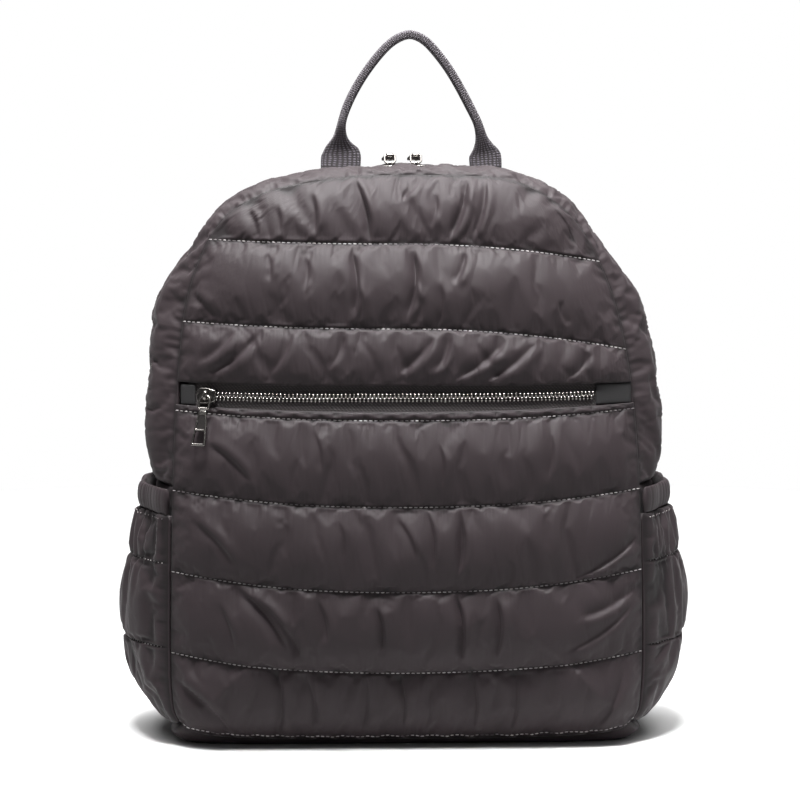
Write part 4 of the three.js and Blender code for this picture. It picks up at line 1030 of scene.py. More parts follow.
for side, name, seed in ((-1, "left", 61), (1, "right", 67)):
    sheet = pocket_sheet_at(side, seed)
    pad(f"pocket_{name}", sheet, pocket_wall, nylon, [f"side_pocket_{name}"])
    seams = [*sheet[3][1:3], sheet[3][3] - 3]
    stitched(f"pocket_stitches_{name}", [seam_line(sheet, row) for row in seams], seed=seed)

    depth = np.linspace(pocket_inset, 1 - pocket_inset, 150)[:, None]
    middle = pocket_high + seam_gap + hem_height / 2
    share = np.full(depth.shape, share_at(side, middle))
    across = depth * girth_depth(share)
    pleat = creases(across, seed + 9, 5, 15)
    thick = (hem_thickness * lerp(0.55, 1, belly(depth, 4)) + gather(depth)) / 2
    clear = side_puff * puff_share(depth) + seam_gap + hem_fullness * belly(depth, 2.2) + thick
    angle = np.linspace(0, 2 * np.pi, 29)[None, :-1]
    wrinkle = 1 - 0.24 * pleat * (0.6 + 0.4 * np.cos(angle))
    lip = np.sign(np.cos(angle)) * np.abs(np.cos(angle)) ** 0.8 * thick * wrinkle
    height = middle + np.sin(angle) * hem_height / 2 * (1 - 0.06 * pleat)
    ring = girth_point(share + 0 * angle, depth + 0 * angle, clear + lip)
    ring[..., 2] += height - outline_at(share)[..., 1]
    ring[..., 1] -= pocket_forward * np.exp(-across / 4)
    points, faces = tube(ring)
    hem = new_piece(f"hem_{name}", points, faces, nylon, uv=section_uv(ring))
    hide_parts(f"pocket_hem_{name}")

# Front zip. A closed chain of number five metal teeth on a woven tape, set behind the gap between
# the two panels; both ends of the gap are covered by smooth coated tabs.

zip_height = panel_lift + 0.613 * panel_height
zip_reach = 0.395 * panel_width
tape_top, tape_thickness, metal_gap = -seam_wall - 0.3, 1.2, 0.3
chain_height, tooth_pitch, tooth_size, tooth_reach = 2.4, 2.6, (1.45, 3.3, 2.1), 1.35


def front_point(x, z):
    x, z = np.broadcast_arrays(np.asarray(x, float), np.asarray(z, float))
    distance = nearest_outline(x, z)[0]
    return np.stack([x, front_y(z, distance), z], -1)


def woven_tape():
    """Polyester zip tape, woven with a fine rib along its length: dull and near black."""
    made, tree, shader = material("woven polyester tape", Roughness=0.85)
    cloth = node(tree, "ShaderNodeUVMap", {"uv_map": "cloth"}).outputs[0]
    rib, cross = (
        node(tree, "ShaderNodeTexWave", {"bands_direction": way}, Vector=cloth, Scale=scale)
        for way, scale in (("DIAGONAL", 260.0), ("Y", 310.0))
    )
    both = node(
        tree, "ShaderNodeMath", {"operation": "MULTIPLY"}, _0=rib.outputs[1], _1=cross.outputs[1]
    )
    shades = {"_6": linear("#2b2728"), "_7": linear("#4c4747")}
    tone = node(tree, "ShaderNodeMix", {"data_type": "RGBA"}, Factor=both.outputs[0], **shades)
    tree.links.new(tone.outputs[2], shader.inputs["Base Color"])
    bump = node(tree, "ShaderNodeBump", Strength=0.6, Distance=0.0002, Height=both.outputs[0])
    tree.links.new(bump.outputs[0], shader.inputs["Normal"])
    return made


def coated_cloth():
    """Cloth coated with polyurethane, embossed with a fine grain: smooth, dark, softly shiny."""
    made, tree, shader = material("coated cloth", Roughness=0.5)
    place = node(tree, "ShaderNodeTexCoord").outputs["Object"]
    grain = node(tree, "ShaderNodeTexVoronoi", Vector=place, Scale=1500.0)
    shades = {"_6": linear("#181718"), "_7": linear("#222122")}
    tone = node(tree, "ShaderNodeMix", {"data_type": "RGBA"}, Factor=grain.outputs[0], **shades)
    tree.links.new(tone.outputs[2], shader.inputs["Base Color"])
    bump = node(tree, "ShaderNodeBump", Strength=0.3, Distance=0.0001, Height=grain.outputs[0])
    tree.links.new(bump.outputs[0], shader.inputs["Normal"])
    return made


def plated_metal():
    """Zinc, die cast and plated dark nickel: bright, with faint wear from handling."""
    made, tree, shader = material("dark nickel plate", Metallic=1.0)
    place = node(tree, "ShaderNodeTexCoord").outputs["Object"]
    wear = node(tree, "ShaderNodeTexNoise", Vector=place, Scale=350.0, Detail=3.0)
    shades = {"_6": linear("#6d6a68"), "_7": linear("#a5a19d")}
    tone = node(tree, "ShaderNodeMix", {"data_type": "RGBA"}, Factor=wear.outputs[0], **shades)
    tree.links.new(tone.outputs[2], shader.inputs["Base Color"])
    gloss = node(tree, "ShaderNodeMapRange", Value=wear.outputs["Fac"], To_Min=0.16, To_Max=0.34)
    tree.links.new(gloss.outputs[0], shader.inputs["Roughness"])
    return made


tape_cloth, coated, nickel = woven_tape(), coated_cloth(), plated_metal()


def flat_strip(name, outer, away, thickness, finish, replaces):
    """A thin closed strip from its outer face's grid of points."""
    points, faces, marks = closed(outer, outer - away * thickness)
    flat = with_lining(*cloth_place(outer), marks)
    piece = new_piece(name, points, faces, finish, uv=flat)
    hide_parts(*replaces)
    return piece


def front_patch(x0, x1, z0, z1, off, columns, rows_up):
    x, z = np.meshgrid(np.linspace(x0, x1, columns), np.linspace(z0, z1, rows_up))
    return front_point(x, z) + (0, -off, 0)


front_out = np.array([0.0, -1.0, 0.0])
opening_low = panel_lift + 0.589 * panel_height
opening_high = panel_lift + 0.634 * panel_height
tape_reach = panel_width / 2 - 11
tape = front_patch(-tape_reach, tape_reach, opening_low - 5, opening_high + 5, tape_top, 91, 9)
thin, stand = tape_thickness, ["pocket_zip_tape"]
flat_strip("front_zip_tape", tape, front_out, thin, tape_cloth, stand)

tab_reach, tab_thickness = panel_width / 2 - 6.5, 1.4
tab_low, tab_high, tab_top = opening_low + 3.2, opening_high - 0.3, tape_top + metal_gap + 1.5
tab_rows, tab_columns = 13, 17
to_edges = [np.minimum(np.arange(n), n - 1 - np.arange(n)) / 2 for n in (tab_rows, tab_columns)]
tab_rim = 0.5 * np.clip(1 - np.minimum.outer(*to_edges), 0, 1) ** 2
for name, begin, end in (
    ("left", -tab_reach, -zip_reach - 16), ("right", zip_reach + 1.5, tab_reach)
):
    face = front_patch(begin, end, tab_low, tab_high, tab_top, tab_columns, tab_rows)
    face[..., 1] += tab_rim
    stand = [f"pocket_zip_tab_{name}"]
    flat_strip(f"zip_tab_{name}", face, front_out, tab_thickness, coated, stand)


def tooth_rows(name, line, out, replaces):
    """Both rows of interlocked teeth along one line, half a pitch apart."""
    for side, label in ((1, "near"), (-1, "far")):
        teeth = laid_along(
            f"{name}_{label}",
            [(line, out)],
            tooth_pitch,
            tooth_size,
            "block",
            nickel,
            offset=(side * tooth_pitch / 4, side * tooth_reach, 0),
        )
        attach(teeth, "bag")
        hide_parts(replaces)


chain_x = np.linspace(-zip_reach - 4, zip_reach - 1, 120)
chain_line = front_point(chain_x, zip_height) + (0, -(tape_top + metal_gap + chain_height / 2), 0)
tooth_rows("front_zip_teeth", chain_line, front_out, "pocket_zip_chain")

# Main zip. The same chain and tape run over the top between the gussets, down to the side pockets.


def ribbon_on_girth(half_width, high, columns=300, count=7):
    share = np.linspace(zip_left + gap_share, zip_right - gap_share, columns)[None]
    half = half_width / girth_depth(share)
    depth = main_zip_at + half * np.linspace(-1, 1, count)[:, None]
    share = np.broadcast_to(share, depth.shape)
    return girth_point(share, depth, high), girth_away(share, depth)


main_tape_top = -0.6
surface, away = ribbon_on_girth(main_zip_width / 2 - seam_gap, main_tape_top)
stand = ["main_zip_tape"]
flat_strip("main_zip_tape_cloth", surface, away, thin, tape_cloth, stand)
share = np.linspace(zip_left + 8 * gap_share, zip_right - 8 * gap_share, 400)
main_line = girth_point(share, main_zip_at + 0 * share, main_tape_top + metal_gap)
tooth_rows("main_zip_teeth", main_line, girth_away(share, share), "main_zip_chain")

# Zip sliders and pulls. Die-cast sliders with a bridge; a wire link hangs in the bridge, and a
# tapered puller with a recessed plate and an open window hangs on the link by its collar.

slider_length, slider_width, slider_wall = 13, 10, 1.4
bridge_length, bridge_width, bridge_wall = 7, 2, 1.2
wire, link_width, link_length = 1.4, 8.4, 10.5
puller_length, puller_top, puller_width, puller_thickness = 25, 4.6, 10, 1.8
slot_top = metal_gap + chain_height + metal_gap
slider_top = slot_top + slider_wall
pull_axis = slider_top + 0.4 + wire / 2
link_bar = link_length - wire


def plate(outlines, thickness, bevel, lift=0.0):
    """A flat plate with bevelled rims from its outline and holes, in its own plane."""
    curve = bpy.data.curves.new("plate", "CURVE")
    curve.dimensions = "2D"
    curve.fill_mode = "BOTH"
    curve.extrude = thickness / 2 - bevel
    curve.bevel_depth = bevel
    curve.bevel_resolution = 2
    curve.offset = -bevel
    for corners in outlines:
        spline = curve.splines.new("POLY")
        spline.points.add(len(corners) - 1)
        for point, (x, y) in zip(spline.points, corners):
            point.co = (x, y, 0, 1)
        spline.use_cyclic_u = True
    holder = bpy.data.objects.new("plate", curve)
    bpy.context.scene.collection.objects.link(holder)
    mesh = as_mesh(holder)
    points = np.array([v.co for v in mesh.vertices]) + (0, 0, lift)
    faces = [list(p.vertices) for p in mesh.polygons]
    bpy.data.objects.remove(holder)
    bpy.data.curves.remove(curve)
    bpy.data.meshes.remove(mesh)
    return points, faces


def rounded(corners, radius, steps=4):
    """A polygon with its corners rounded, as a list of points."""
    corners = np.asarray(corners, float)
    points = []
    for before, at, after in zip(np.roll(corners, 1, 0), corners, np.roll(corners, -1, 0)):
        room = min(np.linalg.norm(before - at), np.linalg.norm(after - at)) / 2
        reach = min(radius, room)
        a, b = at + unit(before - at) * reach, at + unit(after - at) * reach
        for t in np.linspace(0, 1, steps + 1):
            points.append(tuple(lerp(lerp(a, at, t), lerp(at, b, t), t)))
    return points


def swept(path, flat_axis, half_flat, half_deep, sides=12, ring=False, square=2.0):
    """A bar along a path: half_flat wide along flat_axis and half_deep the other way."""
    path = np.asarray(path, float)
    if ring:
        along = unit(np.roll(path, -1, 0) - np.roll(path, 1, 0))
    else:
        along = unit(np.gradient(path, axis=0))
    flat = np.broadcast_to(unit(np.asarray(flat_axis, float)), path.shape)
    flat = unit(flat - along * (flat * along).sum(-1, keepdims=True))
    deep = np.cross(along, flat)
    turn = np.linspace(0, 2 * np.pi, sides + 1)[:-1]
    c, s_ = (np.sign(f) * np.abs(f) ** (2 / square) for f in (np.cos(turn), np.sin(turn)))
    half_flat = np.broadcast_to(half_flat, len(path))[:, None, None]
    half_deep = np.broadcast_to(half_deep, len(path))[:, None, None]
    rings = path[:, None] + flat[:, None] * c[None, :, None] * half_flat
    rings = rings + deep[:, None] * s_[None, :, None] * half_deep
    if ring:
        rings = np.concatenate([rings, rings[:1]])
        points, faces = tube(rings, close_ends=False)
        count = len(path) * sides
        return points[:count], [[v % count for v in f] for f in faces]
    return tube(rings)


def joined(*parts):
    points, faces, start = [], [], 0
    for part_points, part_faces in parts:
        points.append(part_points)
        faces += [[v + start for v in f] for f in part_faces]
        start += len(part_points)
    return np.concatenate(points), faces


def slider_shape():
    half, long = slider_width / 2, slider_length / 2
    shield = rounded([
        (-long, -3.4), (-1, -half), (long - 2, -half), (long, -half + 1.6),
        (long, half - 1.6), (long - 2, half), (-1, half), (-long, 3.4),
    ], 1.4)
    top = plate([shield], slider_wall, 0.45, lift=slot_top + slider_wall / 2)
    flanges = []
    for side in (-1, 1):
        path = [
            (-long + 0.6, side * 3.6, 0), (-1, side * (half - 0.55), 0),
            (long - 2.2, side * (half - 0.55), 0), (long - 0.6, side * (half - 1.7), 0),
        ]
        path = np.array(path) + (0, 0, (metal_gap + slot_top) / 2)
        flanges.append(swept(path, (0, 0, 1), (slot_top - metal_gap) / 2 + 0.5, 0.5, square=4))
    angle = np.linspace(np.pi, 0, 17)
    crown = pull_axis + wire / 2 + metal_gap + bridge_wall / 2
    reach = bridge_length / 2 - bridge_wall / 2
    beside = reach * np.sign(np.cos(angle)) * np.abs(np.cos(angle)) ** 0.7
    above = lerp(slider_top - 0.3, crown, np.sin(angle) ** 0.6)
    arch = np.stack([0 * angle, beside, above], -1)
    bridge = swept(arch, (1, 0, 0), bridge_width / 2, bridge_wall / 2, square=3)
    return joined(top, *flanges, bridge)


def link_shape():
    radius = (link_width - wire) / 2
    angle = np.linspace(0, np.pi, 25)
    top = [(-radius * math.cos(a), radius - radius * math.sin(a)) for a in angle]
    corners = [(radius, radius), (radius, link_bar), (-radius, link_bar), (-radius, radius)]
    foot = rounded(corners, 1.2)[5:-5]
    path = np.array(top[:-1] + foot)
    path = np.concatenate([path, np.zeros((len(path), 1))], 1)
    return swept(path, (0, 0, 1), wire / 2, wire / 2, sides=10, ring=True)


def puller_shape():
    start = wire / 2 + 0.6
    half, top = puller_width / 2, puller_top / 2
    waist, waist_at = lerp(top, half, 0.45), lerp(start, puller_length, 0.3)
    rim = 1.1
    cross = lerp(start, puller_length, 0.55)

    def half_at(y):
        if y < waist_at:
            return lerp(top, waist, (y - start) / (waist_at - start))
        return lerp(waist, half, (y - waist_at) / (puller_length - waist_at))

    outside = rounded([
        (-top, start), (top, start), (waist, waist_at),
        (half, puller_length), (-half, puller_length), (-waist, waist_at),
    ], 1.0)

    def hole(low, high):
        a, b = half_at(low) - rim, half_at(high) - rim
        return rounded([(-a, low), (a, low), (b, high), (-b, high)], 0.7)

    upper, lower = (start + 2.6, cross - 0.6), (cross + 0.6, puller_length - 1.4 * rim)
    frame_part = plate([outside, hole(*upper), hole(*lower)], puller_thickness, 0.35)
    a, b = (half_at(at) - 0.6 for at in upper)
    low, high = upper[0] - 0.4, upper[1] + 0.4
    panel = plate([[(-a, low), (a, low), (b, high), (-b, high)]], 0.8, 0.1)
    across = np.array([-2.75, -2.6, -2.1, -1.7, -1.4, 1.4, 1.7, 2.1, 2.6, 2.75])
    fat = np.array([0.35, 0.9, 1.2, 1.05, 1.35, 1.35, 1.05, 1.2, 0.9, 0.35])
    collar = swept(np.stack([across, 0 * across, 0 * across], -1), (0, 0, 1), fat, fat, sides=16)
    recess = (len(frame_part[1]), len(frame_part[1]) + len(panel[1]))
    return joined(frame_part, panel, collar), recess


def recess_shade_metal():
    """The same casting, darker in the puller's recess: painted shade where the recess lies in
    shadow.
    """
    made, tree, shader = material("nickel with painted recess shade", Metallic=1.0, Roughness=0.45)
    place = node(tree, "ShaderNodeTexCoord").outputs["Object"]
    stain = node(tree, "ShaderNodeTexNoise", Vector=place, Scale=600.0, Detail=3.0)
    shades = {"_6": linear("#2c2a2a"), "_7": linear("#454241")}
    tone = node(tree, "ShaderNodeMix", {"data_type": "RGBA"}, Factor=stain.outputs[0], **shades)
    tree.links.new(tone.outputs[2], shader.inputs["Base Color"])
    return made


slider_solid, link_solid = slider_shape(), link_shape()
puller_solid, puller_recess = puller_shape()
recess_shade_nickel = recess_shade_metal()


def pull(names, stands, origin, along, out, link_lean, puller_lean, body):
    """A slider with its link and puller, each in its own frame: x along the zip, z outwards."""
    down = np.cross(out, along)
    frame_at = Matrix([[along[k], down[k], out[k], origin[k]] for k in range(3)] + [[0, 0, 0, 1]])
    link_turn, puller_turn = (
        Matrix.Rotation(math.radians(lean), 4, "X") for lean in (link_lean, puller_lean)
    )
    link_at = frame_at @ Matrix.Translation((0, 0, pull_axis)) @ link_turn
    puller_at = link_at @ Matrix.Translation((0, link_bar, 0)) @ puller_turn
    solids, places = (slider_solid, link_solid, puller_solid), (frame_at, link_at, puller_at)
    for name, stand, (points, faces), place, rides in zip(
        names, stands, solids, places, ("bag", body, body)
    ):
        matrix = np.array(place)
        placed = points @ matrix[:3, :3].T + matrix[:3, 3]
        piece = new_piece(name, placed, faces, nickel, body=rides)
        piece.data.set_sharp_from_angle(angle=math.radians(40))
        # The puller's recessed plate takes the darker metal: painted shade in the recess.
        if points is puller_solid[0]:
            piece.data.materials.append(recess_shade_nickel)
            for face in piece.data.polygons[slice(*puller_recess)]:
                face.material_index = 1
        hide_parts(stand)


pull_at = -zip_reach - slider_length / 2 - 1
beside = [front_point(pull_at + off, zip_height) for off in (-6, 6)]
above = [front_point(pull_at, zip_height + off) for off in (-6, 6)]
pull_along = unit(beside[0] - beside[1])
pull_out = unit(-np.cross(above[0] - above[1], pull_along))
tape_front = front_point(pull_at, zip_height) + (0, -(tape_top + 0.15), 0)
pull(
    ("front_slider", "front_link", "front_puller"),
    ("pocket_zip_slider", "pocket_zip_link", "pocket_zip_puller"),
    tape_front, pull_along, pull_out, 13, 0, "pocket_pull",
)
pull_spacing = 17
for name, side in (("left", -1), ("right", 1)):
    share = crest_share + side * pull_spacing / 2 / outline_length - 0.003
    out = girth_away(share, share)
    pull(
        (f"main_slider_{name}", f"main_link_{name}", f"main_puller_{name}"),
        (f"main_zip_slider_{name}", f"main_zip_link_{name}", f"main_zip_puller_{name}"),
        girth_point(share, main_zip_at, main_tape_top),
        np.array([out[2], 0, -out[0]]), out, 38, -45, "bag",
    )

# Carry handle. One cotton webbing, sewn flat behind the main zip at both feet and folded in half
# lengthways where it is held; the fold opens towards the feet.

webbing_width, webbing_thickness = 27, 2.2
folded_thickness, folded_width = 6, 14
handle_half, handle_middle, handle_height = 50, 4, 94
handle_route = np.array([
    (-0.91, 0.13, 1), (-0.92, 0.19, 0.72), (-0.92, 0.26, 0.2), (-0.9, 0.36, 0),
    (-0.83, 0.48, 0), (-0.7, 0.62, 0), (-0.53, 0.76, 0), (-0.33, 0.89, 0), (-0.16, 0.965, 0),
    (0.03, 1, 0), (0.21, 0.965, 0), (0.36, 0.89, 0), (0.55, 0.76, 0), (0.71, 0.62, 0),
    (0.85, 0.48, 0), (0.96, 0.36, 0), (1.01, 0.26, 0.1), (1.04, 0.19, 0.4), (1.06, 0.13, 0.75),
])


def woven_webbing():
    """Cotton webbing, woven in coarse ribs of dark grey yarn with paler fibres: quite dull."""
    made, tree, shader = material("cotton webbing", Roughness=0.9)
    cloth = node(tree, "ShaderNodeUVMap", {"uv_map": "cloth"}).outputs[0]
    place = node(tree, "ShaderNodeTexCoord").outputs["Object"]
    warp, weft = (
        node(
            tree,
            "ShaderNodeTexWave",
            {"bands_direction": way},
            Vector=cloth,
            Scale=scale,
            Distortion=2.0,
        )
        for way, scale in (("X", 240.0), ("Y", 210.0))
    )
    fibre = node(tree, "ShaderNodeTexNoise", Vector=place, Scale=1300.0, Detail=2.0)
    times = {"operation": "MULTIPLY"}
    weave = node(tree, "ShaderNodeMath", times, _0=warp.outputs[1], _1=weft.outputs[1])
    mixed = node(tree, "ShaderNodeMath", times, _0=weave.outputs[0], _1=fibre.outputs[0])
    paler = node(tree, "ShaderNodeMapRange", Value=mixed.outputs[0], From_Min=0.02, From_Max=0.4)
    shades = {"_6": linear("#3c383a"), "_7": linear("#77727a")}
    tone = node(tree, "ShaderNodeMix", {"data_type": "RGBA"}, Factor=paler.outputs[0], **shades)
    tree.links.new(tone.outputs[2], shader.inputs["Base Color"])
    bump = node(tree, "ShaderNodeBump", Strength=0.6, Distance=0.0004, Height=weave.outputs[0])
    tree.links.new(bump.outputs[0], shader.inputs["Normal"])
    return made


webbing_cloth = woven_webbing()


def handle_foot(across):
    part = slice(crest - 120, crest + 121)
    x = across * handle_half + handle_middle
    share = np.interp(x, outline[part, 0], outline_shares[part])
    lift = rear_puff * puff_share(0.87) + 2 * seam_gap
    return girth_point(share, lerp(zip_edge(1)(share), 1, 0.9), lift), girth_away(share, share)


(foot_left, out_left), (foot_right, out_right) = handle_foot(-0.91), handle_foot(1.06)
count = len(handle_route)
stops = np.stack([
    handle_route[:, 0] * handle_half + handle_middle,
    lerp(foot_left[1], foot_right[1], np.arange(count) / count),
    panel_top + handle_route[:, 1] * handle_height,
], -1)
stops = np.vstack([foot_left, stops, foot_right])
opened = np.concatenate([[1], handle_route[:, 2], [0.75]])
across_half = lerp(folded_thickness, webbing_width, opened) / 2
deep_half = lerp(folded_width, webbing_thickness, np.sqrt(opened)) / 2
facts = denser(denser(np.column_stack([stops, across_half, deep_half, opened])))
stops, across_half, deep_half = facts[:, :3], facts[:, 3], facts[:, 4]
shut = 1 - np.clip(facts[:, 5], 0, 1)
ahead = np.gradient(stops, axis=0) * (1, 0, 1)
ahead[0], ahead[-1] = out_left, -out_right
ahead = unit(ahead)
across = np.stack([ahead[:, 2], 0 * shut, -ahead[:, 0]], -1)
angle = np.linspace(0, 2 * np.pi, 49)[:-1]
c, d = (np.sign(f) * np.abs(f) ** 0.5 for f in (np.cos(angle), np.sin(angle)))
slit = 0.35 * np.exp(-(c / 0.16) ** 2) * (d > 0)
depth = d[None] * (1 - shut[:, None] * slit[None])
sections = stops[:, None] + across[:, None] * (c * across_half[:, None])[..., None]
sections = sections + (depth * deep_half[:, None])[..., None] * (0, 1, 0)
points, faces = tube(sections)
flat = section_uv(sections)
handle = new_piece("handle", points, faces, webbing_cloth, uv=flat)
handle.data.set_sharp_from_angle(angle=math.radians(50))
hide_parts("carry_handle")

# Shoulder straps. Padded nylon straps, edges turned and topstitched, each ending in a webbing loop
# round the top bar of a ladder buckle; the lower webbing comes up from a tab in the bottom corner.

strap_width, strap_thickness, strap_webbing, strap_webbing_thickness = 54, 11, 25, 1.6
strap_in, strap_out, strap_high, strap_low, strap_stand = 44, 102, 352, 138, 42
stitch_inset, tail_length = 5.5, 40
tab_side, tab_height, strap_tab_width, strap_tab_length, strap_tab_thickness = 132, 32, 29, 34, 2.4
strap_route = np.array([
    (0, 0, 0), (0, 0, 0.12), (-0.015, 0, 0.35), (0.015, 0.01, 0.72), (0.12, 0.04, 0.95),
    (0.27, 0.11, 1), (0.44, 0.25, 0.96), (0.6, 0.43, 0.86), (0.76, 0.64, 0.7),
    (0.9, 0.85, 0.58), (1, 1, 0.49),
])
adjuster_bar, adjuster_slot, adjuster_thickness, adjuster_width = 3, 5.6, 3.4, 33
bar_half = adjuster_thickness / 2
layer = bar_half + metal_gap + strap_webbing_thickness / 2
turn_at = metal_gap + strap_webbing_thickness / 2
middle_bar = adjuster_bar + adjuster_slot
low_bar = middle_bar + adjuster_bar + adjuster_slot
slot_middle = low_bar - adjuster_slot / 2
loaded = layer + strap_webbing_thickness + 1.4 * metal_gap
strap_loop = [
    (0, layer), (adjuster_bar, layer), (adjuster_bar + 0.75 * turn_at, 0.9 * layer),
    (adjuster_bar + turn_at, bar_half), (adjuster_bar + turn_at, -bar_half),
    (adjuster_bar + 0.75 * turn_at, -0.9 * layer), (adjuster_bar, -layer), (0, -layer),
]
webbing_way = [
    (low_bar + adjuster_bar + tail_length, 4 * layer), (low_bar + adjuster_bar + 24, 2 * layer),
    (low_bar + adjuster_bar + 8, -0.4 * layer), (low_bar + adjuster_bar, -layer),
    (low_bar + 0.3, -layer), (slot_middle + 1.2, -0.83 * layer), (slot_middle, 0),
    (slot_middle - 1.2, 0.83 * layer), (middle_bar + adjuster_bar - 0.3, layer),
    (middle_bar, layer), (middle_bar - 0.75 * turn_at, 0.9 * layer),
    (middle_bar - turn_at, bar_half), (middle_bar - turn_at, -bar_half),
    (middle_bar - turn_at, -0.75 * loaded), (middle_bar - 0.7 * turn_at, -0.95 * loaded),
    (middle_bar + 0.2, -loaded), (low_bar + adjuster_bar, -loaded),
    (low_bar + 2 * adjuster_bar, -1.05 * loaded),
]


def moulded_plastic():
    """Acetal, injection moulded with a fine matt grain."""
    made, tree, shader = material("moulded acetal", Base_Color=linear("#1d1c1d"), Roughness=0.48)
    place = node(tree, "ShaderNodeTexCoord").outputs["Object"]
    grain = node(tree, "ShaderNodeTexNoise", Vector=place, Scale=2500.0, Detail=2.0)
    bump = node(tree, "ShaderNodeBump", Strength=0.3, Distance=0.00008, Height=grain.outputs[0])
    tree.links.new(bump.outputs[0], shader.inputs["Normal"])
    return made


acetal = moulded_plastic()


def back_point(x, z, lift):
    distance = nearest_outline(np.array([x]), np.array([z]))[0][0]
    return np.array([x, back_y(z, distance) + lift * edge_fade(distance), z])


def evened(path, longest):
    """The path with its long straight runs cut into shorter ones."""
    pieces = []
    for start, end in zip(path[:-1], path[1:]):
        cuts = max(int(math.ceil(np.linalg.norm(end[:3] - start[:3]) / longest)), 1)
        pieces.append(lerp(start, end, np.arange(cuts)[:, None] / cuts))
    return np.concatenate(pieces + [path[-1:]])


def band(path, lateral, width, thickness, square, sides=32):
    """Sections of a flat band: width along the lateral direction, thickness across it."""
    along = unit(np.gradient(path, axis=0))
    across = unit(lateral - along * (along * lateral).sum(-1, keepdims=True))
    out = np.cross(across, along)
    angle = np.linspace(0, 2 * np.pi, sides + 1)[:-1]
    c, d = (np.sign(f) * np.abs(f) ** (2 / square) for f in (np.cos(angle), np.sin(angle)))
    reach = across[:, None] * (c * np.broadcast_to(width, len(path))[:, None] / 2)[..., None]
    rise = out[:, None] * (d * np.broadcast_to(thickness, len(path))[:, None] / 2)[..., None]
    return path[:, None] + reach + rise, across, out


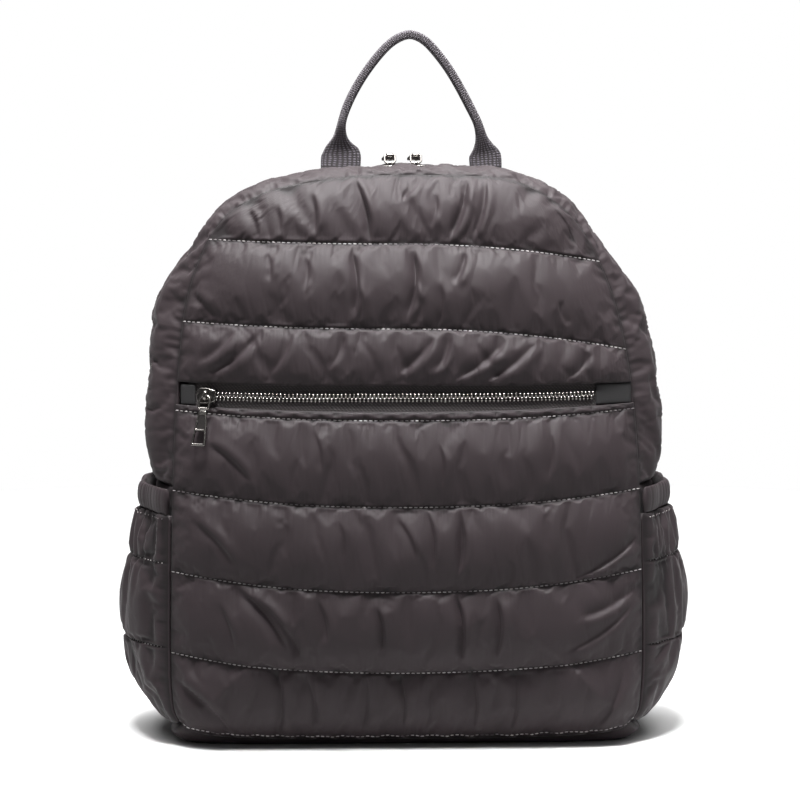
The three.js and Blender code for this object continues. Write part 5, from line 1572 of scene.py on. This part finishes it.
back_flat = back_puff * puff_share(back_flat_from)
level = np.array([1.0, 0.0, 0.0])
for name, side in (("left", -1), ("right", 1)):
    inner = back_point(
        side * (strap_in - strap_width / 2), strap_high - strap_thickness / 2, back_flat
    )
    down, off_side, off = strap_route.T
    knots = np.stack([
        side * lerp(strap_in, strap_out, off_side),
        inner[1] + seam_gap + strap_stand * off,
        lerp(strap_high, strap_low, down),
    ], -1)
    end, along = knots[-1], unit(knots[-1] - knots[-2])
    across = unit(level - along * along[0])
    out = np.cross(across, along)
    loop_start = strap_width / 4

    def local(places):
        places = np.asarray(places, float)
        return end + along * (places[:, :1] + loop_start) + out * places[:, 1:]

    path = denser(denser(denser(knots)))
    gone = lengths_along(path)
    fullness = 1 - 0.36 * smooth(gone, gone[-1] - 42, gone[-1] + 6) ** 1.5
    neck = end + along * 0.55 * loop_start + out * 0.6 * layer
    loop = denser(local(strap_loop))
    path = np.concatenate([path, neck[None], loop])
    fullness = np.concatenate([fullness, [0.2], np.zeros(len(loop))])
    width = lerp(strap_webbing, strap_width, fullness)
    thickness = lerp(strap_webbing_thickness, strap_thickness, fullness)
    sections, sideways, outwards = band(path, level, width, thickness, 3.4, sides=56)
    middle = path[:, None]
    reach = ((sections - middle) * sideways[:, None]).sum(-1)
    rise = ((sections - middle) * outwards[:, None]).sum(-1)
    padded_here = smooth(fullness, 0.3, 0.7)[:, None]
    from_edge = width[:, None] / 2 - np.abs(reach)
    groove = np.exp(-((from_edge - stitch_inset) / 1.3) ** 2)
    gone = lengths_along(path)
    ripple = waves(gone[:, None], reach, 71 + side, 7, 30, lean=0.5)
    ripple = ripple * np.exp(-(from_edge - 7) ** 2 / 30)
    thinner = padded_here * (0.32 * groove + 0.05 * ripple)
    sections = sections - outwards[:, None] * (rise * thinner)[..., None]
    points, faces = tube(sections)
    strap = new_piece(f"strap_{name}", points, faces, nylon, uv=section_uv(sections))
    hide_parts(f"shoulder_strap_{name}")
    lines = []
    for edge in (-1, 1):
        for face in (-1, 1):
            line_at = edge * (width / 2 - stitch_inset)
            off_line = np.abs(reach - line_at[:, None]) + apart * (rise * face < 0)
            nearest = np.arange(len(path)), off_line.argmin(1)
            keep = (fullness > 0.62) & (gone > 14)
            row = sections[nearest] + sideways * (line_at - reach[nearest])[:, None]
            lines.append((row[keep], face * outwards[keep]))
    stitched(f"strap_stitches_{name}", lines, seed=80 + side)

    half, length = adjuster_width / 2, low_bar + adjuster_bar
    open_half = strap_webbing / 2 + 1
    openings = [(half, 0, length, 2.4)] + [
        (open_half, low, low + adjuster_slot, 1.0)
        for low in (adjuster_bar, middle_bar + adjuster_bar)
    ]
    outlines = [
        rounded([(-reach, low), (reach, low), (reach, high), (-reach, high)], radius)
        for reach, low, high, radius in openings
    ]
    points, faces = plate(outlines, adjuster_thickness, 0.7)
    points = local(np.zeros((1, 2))) + points @ np.array([across, along, out])
    buckle = new_piece(f"buckle_{name}", points, faces, acetal)
    buckle.data.set_sharp_from_angle(angle=math.radians(40))
    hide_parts(f"strap_adjuster_{name}")

    inward = unit(np.array([-side * 0.35, 1.0]))

    def on_back(distance, off):
        x, z = side * tab_side + distance * inward[0], tab_height + distance * inward[1]
        up = (z - panel_lift) / (back_rows[0] * panel_height) / back_flat_from
        flat = back_flat * min(max(up, 0), 1)
        y = back_point(x - side * strap_tab_width / 2, z, flat)[1]
        return np.array([x, y + off, z])

    on_tab = 2 * seam_gap + strap_tab_thickness + strap_webbing_thickness / 2
    rise_stops = [
        on_back(distance, on_tab + more)
        for distance, more in ((46, 7), (30, 2.5), (15.2, 0.4), (0, 0))
    ]
    way = local(webbing_way)
    laterals = np.concatenate([np.repeat(across[None], len(way), 0), np.repeat(level[None], 4, 0)])
    path = np.concatenate([np.concatenate([way, rise_stops]), laterals], 1)
    path = denser(evened(path, 6))
    middle, lateral = path[:, :3], path[:, 3:]
    sections, _, _ = band(middle, lateral, strap_webbing, strap_webbing_thickness, 6, sides=28)
    points, faces = tube(sections)
    flat = section_uv(sections)
    lower = new_piece(
        f"webbing_{name}", points, faces, webbing_cloth, uv=flat
    )
    lower.data.set_sharp_from_angle(angle=math.radians(50))
    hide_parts(f"strap_webbing_{name}")

    half, lift = strap_tab_length / 2, seam_gap + strap_tab_thickness / 2
    path = np.stack([on_back(distance, lift) for distance in np.linspace(-half, half, 15)])
    sections, _, _ = band(path, level, strap_tab_width, strap_tab_thickness, 5, sides=40)
    points, faces = tube(sections)
    tab = new_piece(f"tab_{name}", points, faces, nylon, uv=section_uv(sections))
    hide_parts(f"strap_tab_{name}")
    corners = [path[at] + level * off for at, off in ((3, 11), (12, 11), (12, -11), (3, -11))]
    box = evened(np.array(corners + corners[:1]), 3) + (0, strap_tab_thickness / 2, 0)
    stitched(f"tab_stitches_{name}", [(box, np.array([0.0, 1.0, 0.0]))], seed=90 + side)
